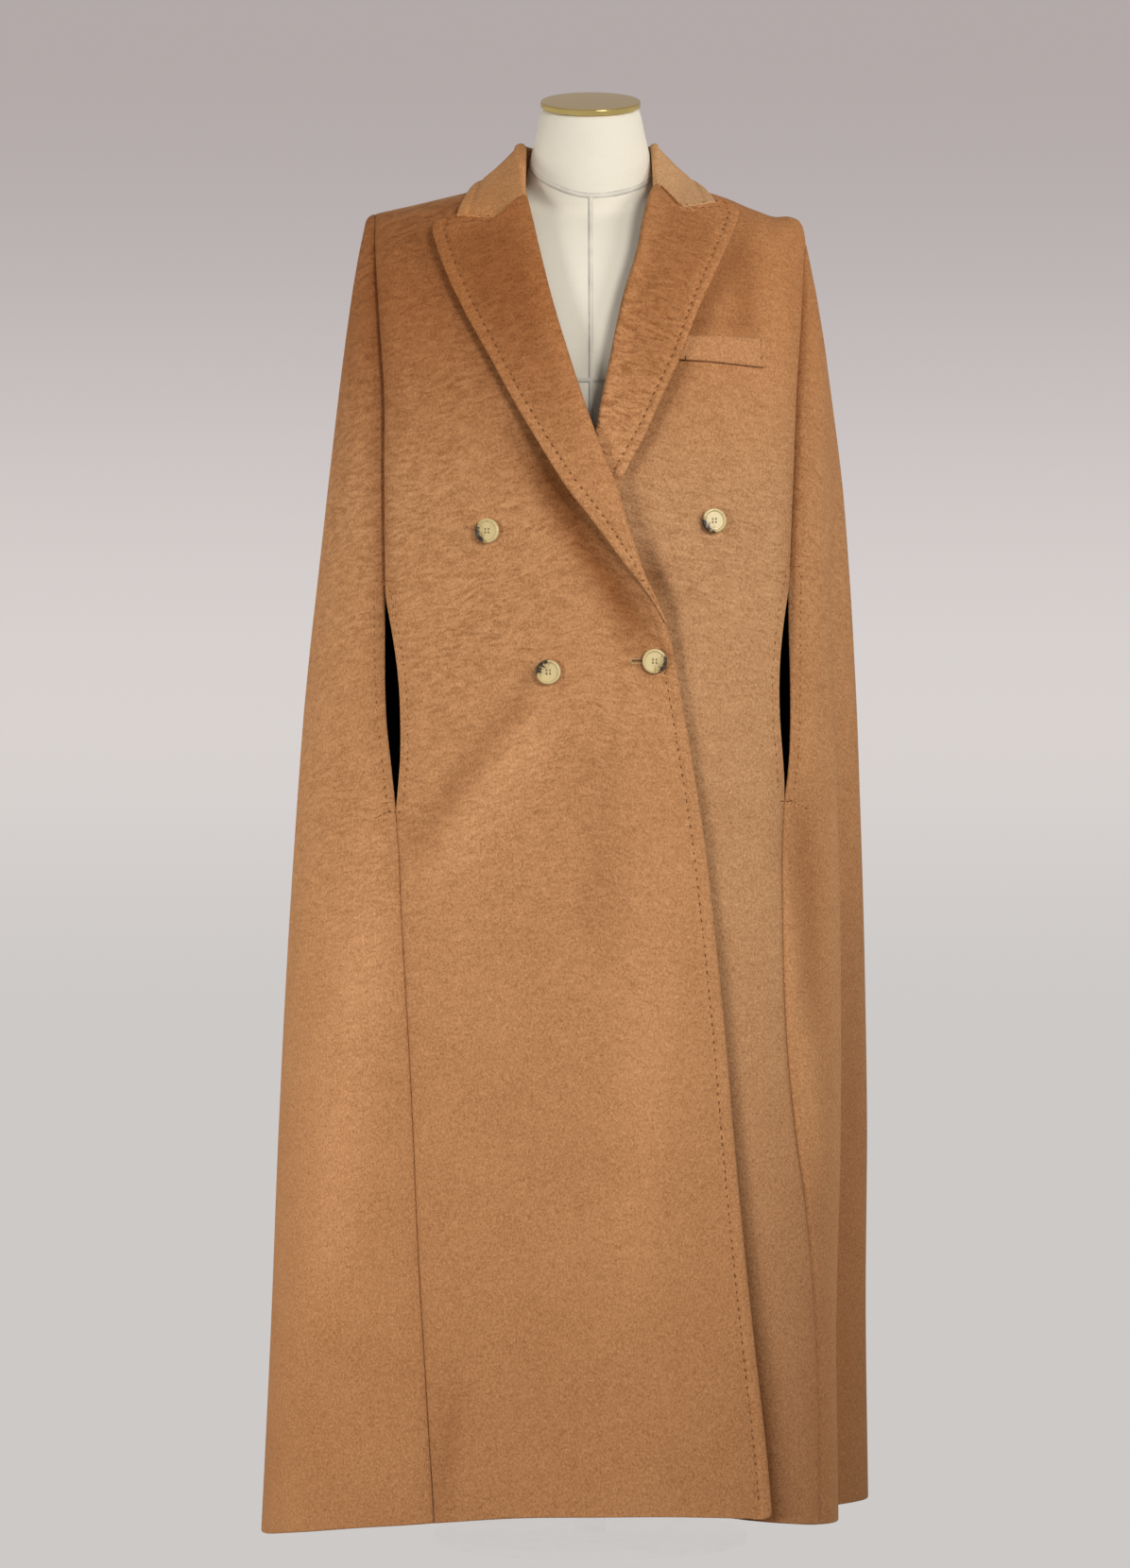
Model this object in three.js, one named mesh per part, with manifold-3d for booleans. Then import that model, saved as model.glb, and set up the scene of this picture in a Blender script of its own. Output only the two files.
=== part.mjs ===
// A long double-breasted wool cape with peak lapels, collar, arm slits and horn buttons,
// worn by a limbless dress form on a pole with a round base. Millimetres, +Z up, the front faces -Y,
// the origin is the centre of the base on the floor.
import * as THREE from "three";
import Module from "manifold-3d";

const wasm = await Module();
wasm.setup();

// Cloth and sewing sizes
const CLOTH = 2.6;
const SEAM = 0.3;
const RIDGE_GAP = 0.5;
const MOST_SEAM_TURN = 0.15;
const HALF_TURN = Math.PI;
const QUARTER_TURN = Math.PI / 2;
const DEGREE = Math.PI / 180;

// Horizontal rings of the cape from the shoulder ridge down to the hem. z is the height at the
// shoulder point, left and right are half widths, front and back are depths, round is the
// exponent of the ring, slope the share of the shoulder slope that is left, hem the share of
// the uneven hem, ridge and valley the big flute on the wearer's left side.
const CAPE = [
  { z: 1263, left: 203, right: 193, front: 0.3, back: 0.3, round: 2.4, slope: 1 },
  { z: 1262, left: 209, right: 199, front: 24, back: 26, round: 2.4, slope: 1 },
  { z: 1256, left: 214, right: 203, front: 46, back: 48, round: 2.4, slope: 1 },
  { z: 1242, left: 217, right: 205.5, front: 67, back: 69, round: 2.4, slope: 0.92 },
  { z: 1217, left: 222, right: 210, front: 88, back: 89, round: 2.4, slope: 0.75 },
  { z: 1176, left: 228.5, right: 217, front: 110, back: 107, round: 2.4, slope: 0.5, ridge: 3, valley: 0 },
  { z: 1108, left: 237.5, right: 227, front: 131, back: 119, round: 2.4, slope: 0.2, ridge: 12, valley: 2 },
  { z: 1018, left: 248, right: 232, front: 145, back: 126, round: 2.4, slope: 0.05, ridge: 24, valley: 5 },
  { z: 928, left: 258, right: 234, front: 149, back: 132, round: 2.4, ridge: 32, valley: 9 },
  { z: 838, left: 268, right: 238, front: 151, back: 139, round: 2.4, ridge: 35, valley: 13 },
  { z: 747, left: 276, right: 242, front: 154, back: 147, round: 2.4, hem: 0.02, ridge: 36, valley: 17 },
  { z: 566, left: 288, right: 247, front: 161, back: 164, round: 2.42, hem: 0.1, ridge: 38, valley: 23 },
  { z: 386, left: 297, right: 247, front: 168, back: 180, round: 2.45, hem: 0.3, ridge: 42, valley: 29 },
  { z: 205, left: 304, right: 241, front: 175, back: 196, round: 2.48, hem: 0.65, ridge: 48, valley: 37 },
  { z: 18, left: 313, right: 242, front: 181, back: 210, round: 2.5, hem: 1, ridge: 50, valley: 39 },
].map((row, level) => ({ level, slope: 0, hem: 0, ridge: 0, valley: 0, ...row }));
const HEM_LEVEL = CAPE.length - 1;

// Rise of the shoulder ridge over the shoulder point, by the distance out from the centre
const SHOULDER_LINE = [
  { out: 0, left: 40, right: 40 },
  { out: 68, left: 29.6, right: 29.6 },
  { out: 130, left: 16.5, right: 16.5 },
  { out: 158, left: 10, right: 5 },
  { out: 176, left: 6, right: -0.5 },
  { out: 205, left: 0, right: -4 },
];

// Rise of the hem over its lowest ring, by the angle from the front towards the wearer's left
const HEM_LINE = [
  { angle: -180, rise: 3 },
  { angle: -120, rise: -2 },
  { angle: -85, rise: -7 },
  { angle: -60, rise: 2 },
  { angle: -32, rise: 15 },
  { angle: 0, rise: 27 },
  { angle: 28, rise: 24 },
  { angle: 55, rise: 11 },
  { angle: 90, rise: 9 },
  { angle: 130, rise: 8 },
  { angle: 180, rise: 3 },
];

// The flute on the wearer's left: where its back ridge and its valley lie and how wide they are
const FLUTE = { ridgeAngle: 114, ridgeSpread: 17, valleyAngle: 92, valleySpread: 13 };

// Soft folds of the hanging cloth: angle from the front, spread, depth at the hem, height of their start
const FOLDS = [
  { name: "front_trough", angle: -9, spread: 8, depth: -7, from: 640 },
  { name: "front_swell", angle: -27, spread: 9, depth: 4, from: 520 },
  { name: "left_side_swell", angle: -118, spread: 15, depth: 12, from: 900 },
  { name: "left_back_trough", angle: -140, spread: 10, depth: -14, from: 860 },
  { name: "left_back_swell", angle: -160, spread: 10, depth: 12, from: 900 },
  { name: "back_trough", angle: 179, spread: 10, depth: -13, from: 880 },
  { name: "right_back_swell", angle: 158, spread: 10, depth: 10, from: 880 },
  { name: "right_back_trough", angle: 139, spread: 8, depth: -12, from: 900 },
];

// Side-front and side-back seams: distance out from the centre by height, wearer's right and left
const FRONT_SEAM = [
  { z: 20, right: 143, left: 215 },
  { z: 180, right: 153, left: 211.5 },
  { z: 271, right: 159, left: 204 },
  { z: 332, right: 162.5, left: 198 },
  { z: 386, right: 165, left: 189.5 },
  { z: 475, right: 170, left: 181 },
  { z: 585, right: 176, left: 178.5 },
  { z: 694, right: 182, left: 179.5 },
  { z: 738, right: 187, left: 184 },
  { z: 786, right: 190.5, left: 186 },
  { z: 903, right: 194.5, left: 187 },
  { z: 1019, right: 194, left: 191 },
  { z: 1088, right: 195.5, left: 194.5 },
  { z: 1156, right: 199, left: 198.5 },
  { z: 1231, right: 203.5, left: 204.2 },
  { z: 1264, right: 204, left: 206 },
];
const BACK_SEAM = [
  { z: 20, right: 165, left: 150 },
  { z: 400, right: 160, left: 150 },
  { z: 800, right: 168, left: 160 },
  { z: 1019, right: 180, left: 174 },
  { z: 1156, right: 192, left: 188 },
  { z: 1231, right: 203.5, left: 203 },
  { z: 1264, right: 204, left: 206 },
];

// Arm slits in the side-front seams
const SLIT = {
  right: { bottom: 693, top: 903, wide: 12.5 },
  left: { bottom: 708, top: 919, wide: 11 },
};

// Inner edges of the fronts: the roll line down to the break and the front edge below it
const FRONT_EDGE = [
  { z: 20, right: 168, left: -40 },
  { z: 100, right: 162, left: -43 },
  { z: 170, right: 153.5, left: -46 },
  { z: 276, right: 141.5, left: -50 },
  { z: 389, right: 132.5, left: -53 },
  { z: 477, right: 124, left: -56 },
  { z: 584, right: 113, left: -60 },
  { z: 673, right: 104, left: -62 },
  { z: 765, right: 88.5, left: -60 },
  { z: 815, right: 80, left: -56 },
  { z: 860, right: 67, left: -46 },
  { z: 914, right: 43.5, left: -30 },
  { z: 952, right: 30.5, left: -17 },
  { z: 993, right: 19, left: -6 },
  { z: 1026, right: 5.5, left: 3.5 },
  { z: 1096, right: -18.5, left: 18.5 },
  { z: 1171, right: -41, left: 34 },
  { z: 1222, right: -53.5, left: 48.5 },
  { z: 1247, right: -59, left: 53 },
  { z: 1276, right: -66, left: 61 },
  { z: 1293, right: -71, left: 71 },
];

// How far the right front stands off the left front along its edge
const OVERLAP = [
  { z: 20, lift: 13 },
  { z: 300, lift: 9 },
  { z: 600, lift: 8 },
  { z: 800, lift: 9.5 },
  { z: 900, lift: 12 },
  { z: 980, lift: 14 },
  { z: 1040, lift: 13 },
  { z: 1100, lift: 9 },
  { z: 1180, lift: 3 },
  { z: 1250, lift: 0 },
];
const OVERLAP_START = -185;
const OVERLAP_FULL = 10;

// Turned-back lapels: how they stand off the front, and their outer edges by height
const LAPEL_GAP = 4.6;
const LAPEL_EDGE_GAP = 4;
const LAPEL_EDGE = [
  { z: 880, right: 62, left: 0 },
  { z: 903.5, right: 46.5, left: 0 },
  { z: 925, right: 28, left: 4 },
  { z: 965, right: 3.7, left: 14 },
  { z: 993, right: -17, left: 23 },
  { z: 1019, right: -31.3, left: 37 },
  { z: 1046, right: -49, left: 51 },
  { z: 1073, right: -65.6, left: 62.5 },
  { z: 1110, right: -87, left: 77 },
  { z: 1161, right: -117, left: 97.5 },
  { z: 1205, right: -137, left: 118.3 },
  { z: 1247, right: -150, left: 136 },
  { z: 1262, right: -152, left: 139.5 },
];
// Top edge of each lapel: gorge at the roll line, notch, collar corner, peak
const LAPEL_TOP = {
  right: [
    { share: 0, x: -64, z: 1271 },
    { share: 0.3, x: -88, z: 1250 },
    { share: 0.74, x: -128, z: 1254.5 },
    { share: 1, x: -150, z: 1247.5 },
  ],
  left: [
    { share: 0, x: 61, z: 1280 },
    { share: 0.3, x: 82, z: 1259 },
    { share: 0.76, x: 119.5, z: 1266.5 },
    { share: 1, x: 139, z: 1262 },
  ],
};
const LAPEL_LEVELS = { right: { top: 3, end: 8.5 }, left: { top: 2.5, end: 7.5 } };
const LAPEL_BEND = 0.38;
const LAPEL_SEAM = 0.4;
const LAPEL_STEP = 0.02;

// Collar from the centre back to the gorge. angle is counted from the back, base, fold and edge are
// distances from the neck's axis, fold_z the height of the fold, edge_angle where the outer edge lies.
const COLLAR = [
  { station: 0, angle: 0, base: 74.5, foot: 1.3, fold: 67, fold_z: 1328, edge_angle: 0, edge: 86 },
  { station: 0.25, angle: 34, base: 74.5, foot: 1.3, fold: 66, fold_z: 1329, edge_angle: 33, edge: 90 },
  { station: 0.5, angle: 68, base: 74.5, foot: 1, fold: 64, fold_z: 1331, edge_angle: 66, edge: 107 },
  { station: 0.68, angle: 92, base: 74.5, foot: 0.8, fold: 63, fold_z: 1329, edge_angle: 87, edge: 123 },
  { station: 0.85, angle: 115, base: 78, foot: 1, fold: 69, fold_z: 1309, edge_angle: 101, edge: 131 },
  { station: 1, angle: 134, base: 89, foot: 2.5, fold: 85, fold_z: 1286, edge_angle: 113, edge: 138 },
];
const COLLAR_END = { right: 1, left: 0.94 };
const COLLAR_ROLL = 4.4;
const COLLAR_EDGE_LIFT = 6;
const COLLAR_GORGE_SHARE = 0.16;
const COLLAR_GORGE_GAP = 3;
const COLLAR_KNEE = { out: 0.3, high: 0.36 };
const COLLAR_CORNER = 2;
const NECK_HOLE = 72;

// Breast welt on the left front
const WELT = {
  inner: 84,
  outer: 161,
  top_inner: 1139,
  top_outer: 1136.5,
  high_inner: 25,
  high_outer: 28,
  slant: -6,
  gap: 0.7,
  thick: 2.4,
};

// Horn buttons with a raised rim on a thread shank, and where they sit on the fronts
const BUTTON = {
  radius: 11.6,
  thick: 4.2,
  bevel: 1.5,
  edge: 0.75,
  rim: 1.65,
  slope: 1.2,
  dish: 0.8,
  shank: 2.4,
  stem: 2.2,
  seat: 0.4,
  hole: 1.1,
  hole_deep: 1.6,
  pitch: 2.3,
};
const BUTTONS = [
  { name: "button_right_upper", front: "front_right", x: -94.5, z: 954.5 },
  { name: "button_right_lower", front: "front_right", x: -39, z: 823.5 },
  { name: "button_left_upper", front: "front_left", x: 113, z: 964.5 },
  { name: "button_fastened", front: "front_right", x: 57.5, z: 833.5 },
];

// Rings of the dress form's torso below the shoulder ridge of the cape
const TORSO = [
  { z: 1259.4, left: 168, right: 166, front: 1, back: 1, round: 2.2, slope: 1 },
  { z: 1257, left: 176, right: 173, front: 11, back: 12, round: 2.2, slope: 1 },
  { z: 1249, left: 182, right: 179, front: 27, back: 30, round: 2.2, slope: 1 },
  { z: 1234, left: 186, right: 184, front: 46, back: 50, round: 2.2, slope: 0.93 },
  { z: 1208, left: 188, right: 186, front: 71, back: 72, round: 2.2, slope: 0.75 },
  { z: 1168, left: 184, right: 183, front: 93, back: 90, round: 2.2, slope: 0.48 },
  { z: 1105, left: 171, right: 171, front: 112, back: 98, round: 2.2, slope: 0.2 },
  { z: 1050, left: 160, right: 160, front: 113, back: 94, round: 2.2, slope: 0.05 },
  { z: 960, left: 132, right: 132, front: 95, back: 79, round: 2.2 },
  { z: 890, left: 118, right: 118, front: 88, back: 77, round: 2.2 },
  { z: 800, left: 146, right: 146, front: 98, back: 101, round: 2.2 },
  { z: 710, left: 167, right: 167, front: 107, back: 118, round: 2.2 },
  { z: 640, left: 168, right: 168, front: 106, back: 115, round: 2.2 },
  { z: 600, left: 160, right: 160, front: 100, back: 108, round: 2.2 },
].map((row, level) => ({ level, slope: 0, hem: 0, ...row }));

// Slices of the neck, leaning and tilting forward towards the cap
const NECK = [
  { level: 0, z: 1236, y: 6, wide: 62, deep: 58, tilt: 6 },
  { level: 1, z: 1285, y: -1, wide: 62.5, deep: 60.5, tilt: 10 },
  { level: 2, z: 1312, y: -5, wide: 58, deep: 58, tilt: 13 },
  { level: 3, z: 1340, y: -10, wide: 51.5, deep: 51.5, tilt: 15.5 },
  { level: 4, z: 1363.6, y: -13, wide: 46.8, deep: 46.8, tilt: 17 },
];
const CAP = { radius: 47.6, thick: 5.6, round: 1.4 };
const POLE = { radius: 15, collar: 45, collar_high: 14 };
const BASE = { radius: 150, thick: 8, edge: 1.5 };

// Facet counts
const FRONT_COLUMNS = 10;
const BACK_COLUMNS = 16;
const SIDE_COLUMNS = { right: 8, left: 14 };
const ROWS_PER_LEVEL = 2;
const TURN_COLUMNS = 4;
const LEAF_COLUMNS = 6;
const COLLAR_COLUMNS = 28;
const COLLAR_ROWS = 9;
const WELT_COLUMNS = 6;
const WELT_ROWS = 2;
const TORSO_COLUMNS = 24;
const TORSO_ROWS = 26;
const NECK_ROWS = 5;
const ROUND_SEGMENTS = 24;
const BUTTON_SEGMENTS = 16;
const HOLE_SEGMENTS = 5;
const SEARCH_STEPS = 24;

const panelRows = (top) => (HEM_LEVEL - top) * ROWS_PER_LEVEL;
const mix = (a, b, share) => a + (b - a) * share;
const clamp01 = (value) => Math.min(1, Math.max(0, value));
const soft = (value) => clamp01(value) ** 2 * (3 - 2 * clamp01(value));

// Smooth value of a named column of a table at a place along its key column
function along(table, key, column, place) {
  const last = table.length - 1;
  const at = Math.min(table[last][key], Math.max(table[0][key], place));
  let row = 0;
  while (row < last - 1 && table[row + 1][key] < at) row += 1;
  const secant = (i) => (table[i + 1][column] - table[i][column]) / (table[i + 1][key] - table[i][key]);
  const tangent = (i) => {
    if (i === 0) return secant(0);
    if (i === last) return secant(last - 1);
    return (secant(i - 1) + secant(i)) / 2;
  };
  const width = table[row + 1][key] - table[row][key];
  const u = (at - table[row][key]) / width;
  const start = table[row][column] * (1 + 2 * u) * (1 - u) ** 2 + tangent(row) * width * u * (1 - u) ** 2;
  const end = table[row + 1][column] * u * u * (3 - 2 * u) - tangent(row + 1) * width * u * u * (1 - u);
  return start + end;
}

// Turn in degrees brought between half a turn either way
const halfTurn = (turn) => turn - 360 * Math.round(turn / 360);

// Height of a ring where it passes x at an angle from the front
function ringHeight(table, x, angle, level) {
  const rise = along(SHOULDER_LINE, "out", x < 0 ? "left" : "right", Math.abs(x));
  const hem = along(HEM_LINE, "angle", "rise", halfTurn(angle / DEGREE));
  return (
    along(table, "level", "z", level) +
    along(table, "level", "slope", level) * rise +
    along(table, "level", "hem", level) * hem
  );
}

// Bell curve of a fold across the ring
function bell(angle, centre, spread) {
  return Math.exp(-((halfTurn(angle / DEGREE - centre) / spread) ** 2));
}

// Outward shift of the hanging cloth: the big flute and the soft folds
function foldShift(table, angle, level) {
  if (table !== CAPE) return 0;
  const height = along(table, "level", "z", level);
  const ridge = along(table, "level", "ridge", level) * bell(angle, FLUTE.ridgeAngle, FLUTE.ridgeSpread);
  const dip = along(table, "level", "valley", level);
  const valley = dip * bell(angle, FLUTE.valleyAngle, FLUTE.valleySpread);
  const deep = (fold) => fold.depth * soft((fold.from - height) / fold.from);
  const folds = FOLDS.reduce((sum, fold) => sum + deep(fold) * bell(angle, fold.angle, fold.spread), 0);
  return ridge - valley + folds;
}

// Point of a ring: angle from the front towards +X, level from the shoulder ridge down
function ringPoint(table, angle, level) {
  const across = Math.sin(angle);
  const ahead = Math.cos(angle);
  const half = along(table, "level", across < 0 ? "left" : "right", level);
  const deep = along(table, "level", ahead < 0 ? "back" : "front", level);
  const power = 2 / along(table, "level", "round", level);
  const x = half * Math.sign(across) * Math.abs(across) ** power;
  const y = -deep * Math.sign(ahead) * Math.abs(ahead) ** power;
  const shift = foldShift(table, angle, level);
  return new THREE.Vector3(x + shift * across, y - shift * ahead, ringHeight(table, x, angle, level));
}

// Angle at which the front half of a ring passes x
function frontAngle(x, level) {
  const half = along(CAPE, "level", x < 0 ? "left" : "right", level);
  const ratio = Math.min(1, Math.abs(x) / half);
  return Math.sign(x) * Math.asin(ratio ** (along(CAPE, "level", "round", level) / 2));
}

// Level found by halving between the ridge and the hem
function searchLevel(tooHigh) {
  let low = 0;
  let high = HEM_LEVEL;
  for (let step = 0; step < SEARCH_STEPS; step += 1) {
    const middle = (low + high) / 2;
    if (tooHigh(middle)) low = middle;
    else high = middle;
  }
  return (low + high) / 2;
}

// Shift of the right front off the left front
function overlapLift(x, z) {
  const across = soft((x - OVERLAP_START) / (OVERLAP_FULL - OVERLAP_START));
  return across * along(OVERLAP, "z", "lift", z);
}

// Front and back stand a little apart along the shoulder ridge
function ridgeGap(angle, level) {
  return -Math.sign(Math.cos(angle)) * RIDGE_GAP * clamp01(1 - level);
}

// Point of the cape at an angle and level, lifted over the other front where asked
function clothPoint(angle, level, lifted) {
  const base = ringPoint(CAPE, angle, level);
  base.y += ridgeGap(angle, level);
  if (!lifted) return base;
  const step = 1e-3;
  const run = ringPoint(CAPE, angle + step, level).sub(ringPoint(CAPE, angle - step, level));
  const outward = new THREE.Vector3(run.y, -run.x, 0).normalize();
  return base.addScaledVector(outward, overlapLift(base.x, base.z));
}

// The same point with the cloth's outward normal
function clothPlace(angle, level, lifted) {
  const step = 1e-3;
  const point = clothPoint(angle, level, lifted);
  const run = clothPoint(angle + step, level, lifted).sub(clothPoint(angle - step, level, lifted));
  const above = clothPoint(angle, Math.max(0, level - step), lifted);
  const below = clothPoint(angle, Math.min(HEM_LEVEL, level + step), lifted);
  return { point, normal: below.sub(above).cross(run).normalize() };
}

// Place on the front seen from ahead at x and z: surface point and outward normal
function frontPlace(x, z, lifted) {
  const level = searchLevel((middle) => ringHeight(CAPE, x, frontAngle(x, middle), middle) > z);
  return clothPlace(frontAngle(x, level), level, lifted);
}

// A face of two parameters with its outward normal worked out from its own points
function withNormal(face, flip) {
  const step = 1e-3;
  return (s, t) => {
    const alongS = face(Math.min(1, s + step), t).sub(face(Math.max(0, s - step), t));
    const alongT = face(s, Math.min(1, t + step)).sub(face(s, Math.max(0, t - step)));
    const normal = alongT.cross(alongS).normalize();
    return { point: face(s, t), normal: flip ? normal.negate() : normal };
  };
}

// Place on the shoulders seen from above at x and y: surface point and outward normal
function roofPlace(x, y) {
  const side = y < 0 ? "front" : "back";
  const level = searchLevel((middle) => {
    const half = along(CAPE, "level", x < 0 ? "left" : "right", middle);
    const round = along(CAPE, "level", "round", middle);
    const inside = Math.max(0, 1 - (Math.abs(x) / half) ** round);
    return along(CAPE, "level", side, middle) * inside ** (1 / round) < Math.abs(y);
  });
  const angle = frontAngle(x, level);
  return clothPlace(y < 0 ? angle : HALF_TURN * Math.sign(x || 1) - angle, level, false);
}

// Point moved off the shoulders where it lies closer to them than it should
function heldOff(point, least) {
  const under = roofPlace(point.x, point.y);
  const height = point.clone().sub(under.point).dot(under.normal);
  return point.addScaledVector(under.normal, Math.max(0, least - height));
}

// Closed wall between a face and the same face moved in, with its four rims
function wall(face, columns, rows, thick, flip) {
  const outer = [];
  const inner = [];
  for (let j = 0; j <= rows; j += 1) {
    for (let i = 0; i <= columns; i += 1) {
      const { point, normal } = face(i / columns, j / rows);
      outer.push(point);
      inner.push(point.clone().addScaledVector(normal, -thick));
    }
  }
  const points = [...outer, ...inner];
  const count = outer.length;
  const width = columns + 1;
  const index = [];
  const quad = (a, b, c, d) => {
    if (flip) index.push(a, b, c, a, c, d);
    else index.push(a, c, b, a, d, c);
  };
  for (let j = 0; j < rows; j += 1) {
    for (let i = 0; i < columns; i += 1) {
      const a = j * width + i;
      quad(a, a + 1, a + width + 1, a + width);
      quad(count + a, count + a + width, count + a + width + 1, count + a + 1);
    }
  }
  for (let i = 0; i < columns; i += 1) {
    const foot = rows * width + i;
    quad(i, count + i, count + i + 1, i + 1);
    quad(foot, foot + 1, count + foot + 1, count + foot);
  }
  for (let j = 0; j < rows; j += 1) {
    const a = j * width;
    const b = a + columns;
    quad(a, a + width, count + a + width, count + a);
    quad(b, count + b, count + b + width, b + width);
  }
  return new THREE.BufferGeometry().setFromPoints(points).setIndex(index);
}

// Angle of a seam or edge given as a distance out by height, on one side of the front or the back
function seamAngle(table, column, sign, level, extra) {
  let x = sign * along(table, "z", column, along(CAPE, "level", "z", level));
  let z = 0;
  for (let turn = 0; turn < SEARCH_STEPS; turn += 1) {
    z = ringHeight(CAPE, x, frontAngle(x, level), level);
    x = sign * along(table, "z", column, z) + extra(z);
  }
  return frontAngle(x, level);
}

// Angle that half a seam gap takes up on a ring
function seamTurn(angle, level) {
  const step = 1e-3;
  const speed = ringPoint(CAPE, angle + step, level).distanceTo(ringPoint(CAPE, angle - step, level));
  return Math.min(MOST_SEAM_TURN, (SEAM * step) / speed);
}

// Width of an arm slit by height
function slitWidth(slit, z) {
  return slit.wide * Math.sin(HALF_TURN * clamp01((slit.top - z) / (slit.top - slit.bottom)));
}

const noExtra = () => 0;
const SIDES = { right: -1, left: 1 };
const frontSeam = (side, level) => seamAngle(FRONT_SEAM, side, SIDES[side], level, noExtra);
const backSeam = (side, level) =>
  SIDES[side] * HALF_TURN - seamAngle(BACK_SEAM, side, SIDES[side], level, noExtra);
const frontEdge = (side, level) => seamAngle(FRONT_EDGE, side, 1, level, noExtra);
const slitEdge = (side, level) =>
  seamAngle(FRONT_SEAM, side, SIDES[side], level, (z) => -SIDES[side] * slitWidth(SLIT[side], z));

// Right front from its side seam to its edge, left front from its edge to its side seam
function frontFace(side) {
  return (s, t) => {
    const level = t * HEM_LEVEL;
    const seam = slitEdge(side, level);
    const start = seam - SIDES[side] * seamTurn(seam, level);
    const edge = frontEdge(side, level);
    const share = side === "right" ? s : 1 - s;
    return clothPlace(mix(start, edge, share), level, side === "right");
  };
}

// Side panel from the side-front seam over the arm to the side-back seam
const SIDE_TOP = { right: 0.5, left: 3 };
function sideFace(side) {
  return (s, t) => {
    const level = mix(SIDE_TOP[side], HEM_LEVEL, t);
    const sign = SIDES[side];
    const ahead = frontSeam(side, level);
    const behind = backSeam(side, level);
    const start = ahead + sign * seamTurn(ahead, level);
    const end = behind - sign * seamTurn(behind, level);
    return clothPlace(side === "right" ? mix(end, start, s) : mix(start, end, s), level, false);
  };
}

// Back between the side-back seams, its top cut out round the neck
function backFace(s, t) {
  const around = (level) => {
    const first = backSeam("left", level);
    const last = backSeam("right", level) + 2 * HALF_TURN;
    return mix(first + seamTurn(first, level), last - seamTurn(last, level), s);
  };
  const top = searchLevel((level) => {
    const point = ringPoint(CAPE, around(level), level);
    return Math.hypot(point.x, point.y) < NECK_HOLE;
  });
  const level = mix(top, HEM_LEVEL, t);
  return clothPlace(around(level), level, false);
}

// Lapel: it leaves the front's edge, turns round the roll and lies back over the front.
// The first part of s goes round the roll, the rest across the leaf to its outer edge.
const TURN_SHARE = TURN_COLUMNS / (TURN_COLUMNS + LEAF_COLUMNS);
function lapelFace(side) {
  const top = LAPEL_TOP[side];
  const peak = top[top.length - 1];
  const lifted = side === "right";
  const inward = -SIDES[side];
  const levels = LAPEL_LEVELS[side];
  const rollPlace = (t) => {
    const level = mix(levels.top, levels.end, t);
    return clothPlace(frontEdge(side, level), level, lifted);
  };
  const endZ = rollPlace(1).point.z;
  return (s, t) => {
    const roll = rollPlace(t);
    const above = rollPlace(Math.max(0, t - LAPEL_STEP)).point;
    const run = rollPlace(Math.min(1, t + LAPEL_STEP)).point.sub(above);
    const away = run.cross(roll.normal).normalize();
    if (away.x * inward < 0) away.negate();
    const centre = LAPEL_GAP / 2;
    const radius = centre + CLOTH;
    if (s <= TURN_SHARE) {
      const turn = HALF_TURN * (s / TURN_SHARE);
      return roll.point
        .addScaledVector(roll.normal, centre - radius * Math.cos(turn))
        .addScaledVector(away, LAPEL_SEAM + radius * Math.sin(turn));
    }
    const leaf = (s - TURN_SHARE) / (1 - TURN_SHARE);
    const edgeZ = mix(peak.z, endZ, t);
    const edgeX = along(LAPEL_EDGE, "z", side, edgeZ);
    const bend = (1 - clamp01(t / LAPEL_BEND)) ** 2;
    const bendX = along(top, "share", "x", leaf) - mix(top[0].x, peak.x, leaf);
    const bendZ = along(top, "share", "z", leaf) - mix(top[0].z, peak.z, leaf);
    const place = frontPlace(
      mix(roll.point.x, edgeX, leaf) + bend * bendX,
      mix(roll.point.z, edgeZ, leaf) + bend * bendZ,
      lifted,
    );
    const lift = mix(LAPEL_GAP, LAPEL_EDGE_GAP, leaf) + CLOTH;
    return place.point.addScaledVector(place.normal, lift).addScaledVector(away, LAPEL_SEAM * (1 - leaf));
  };
}

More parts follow.
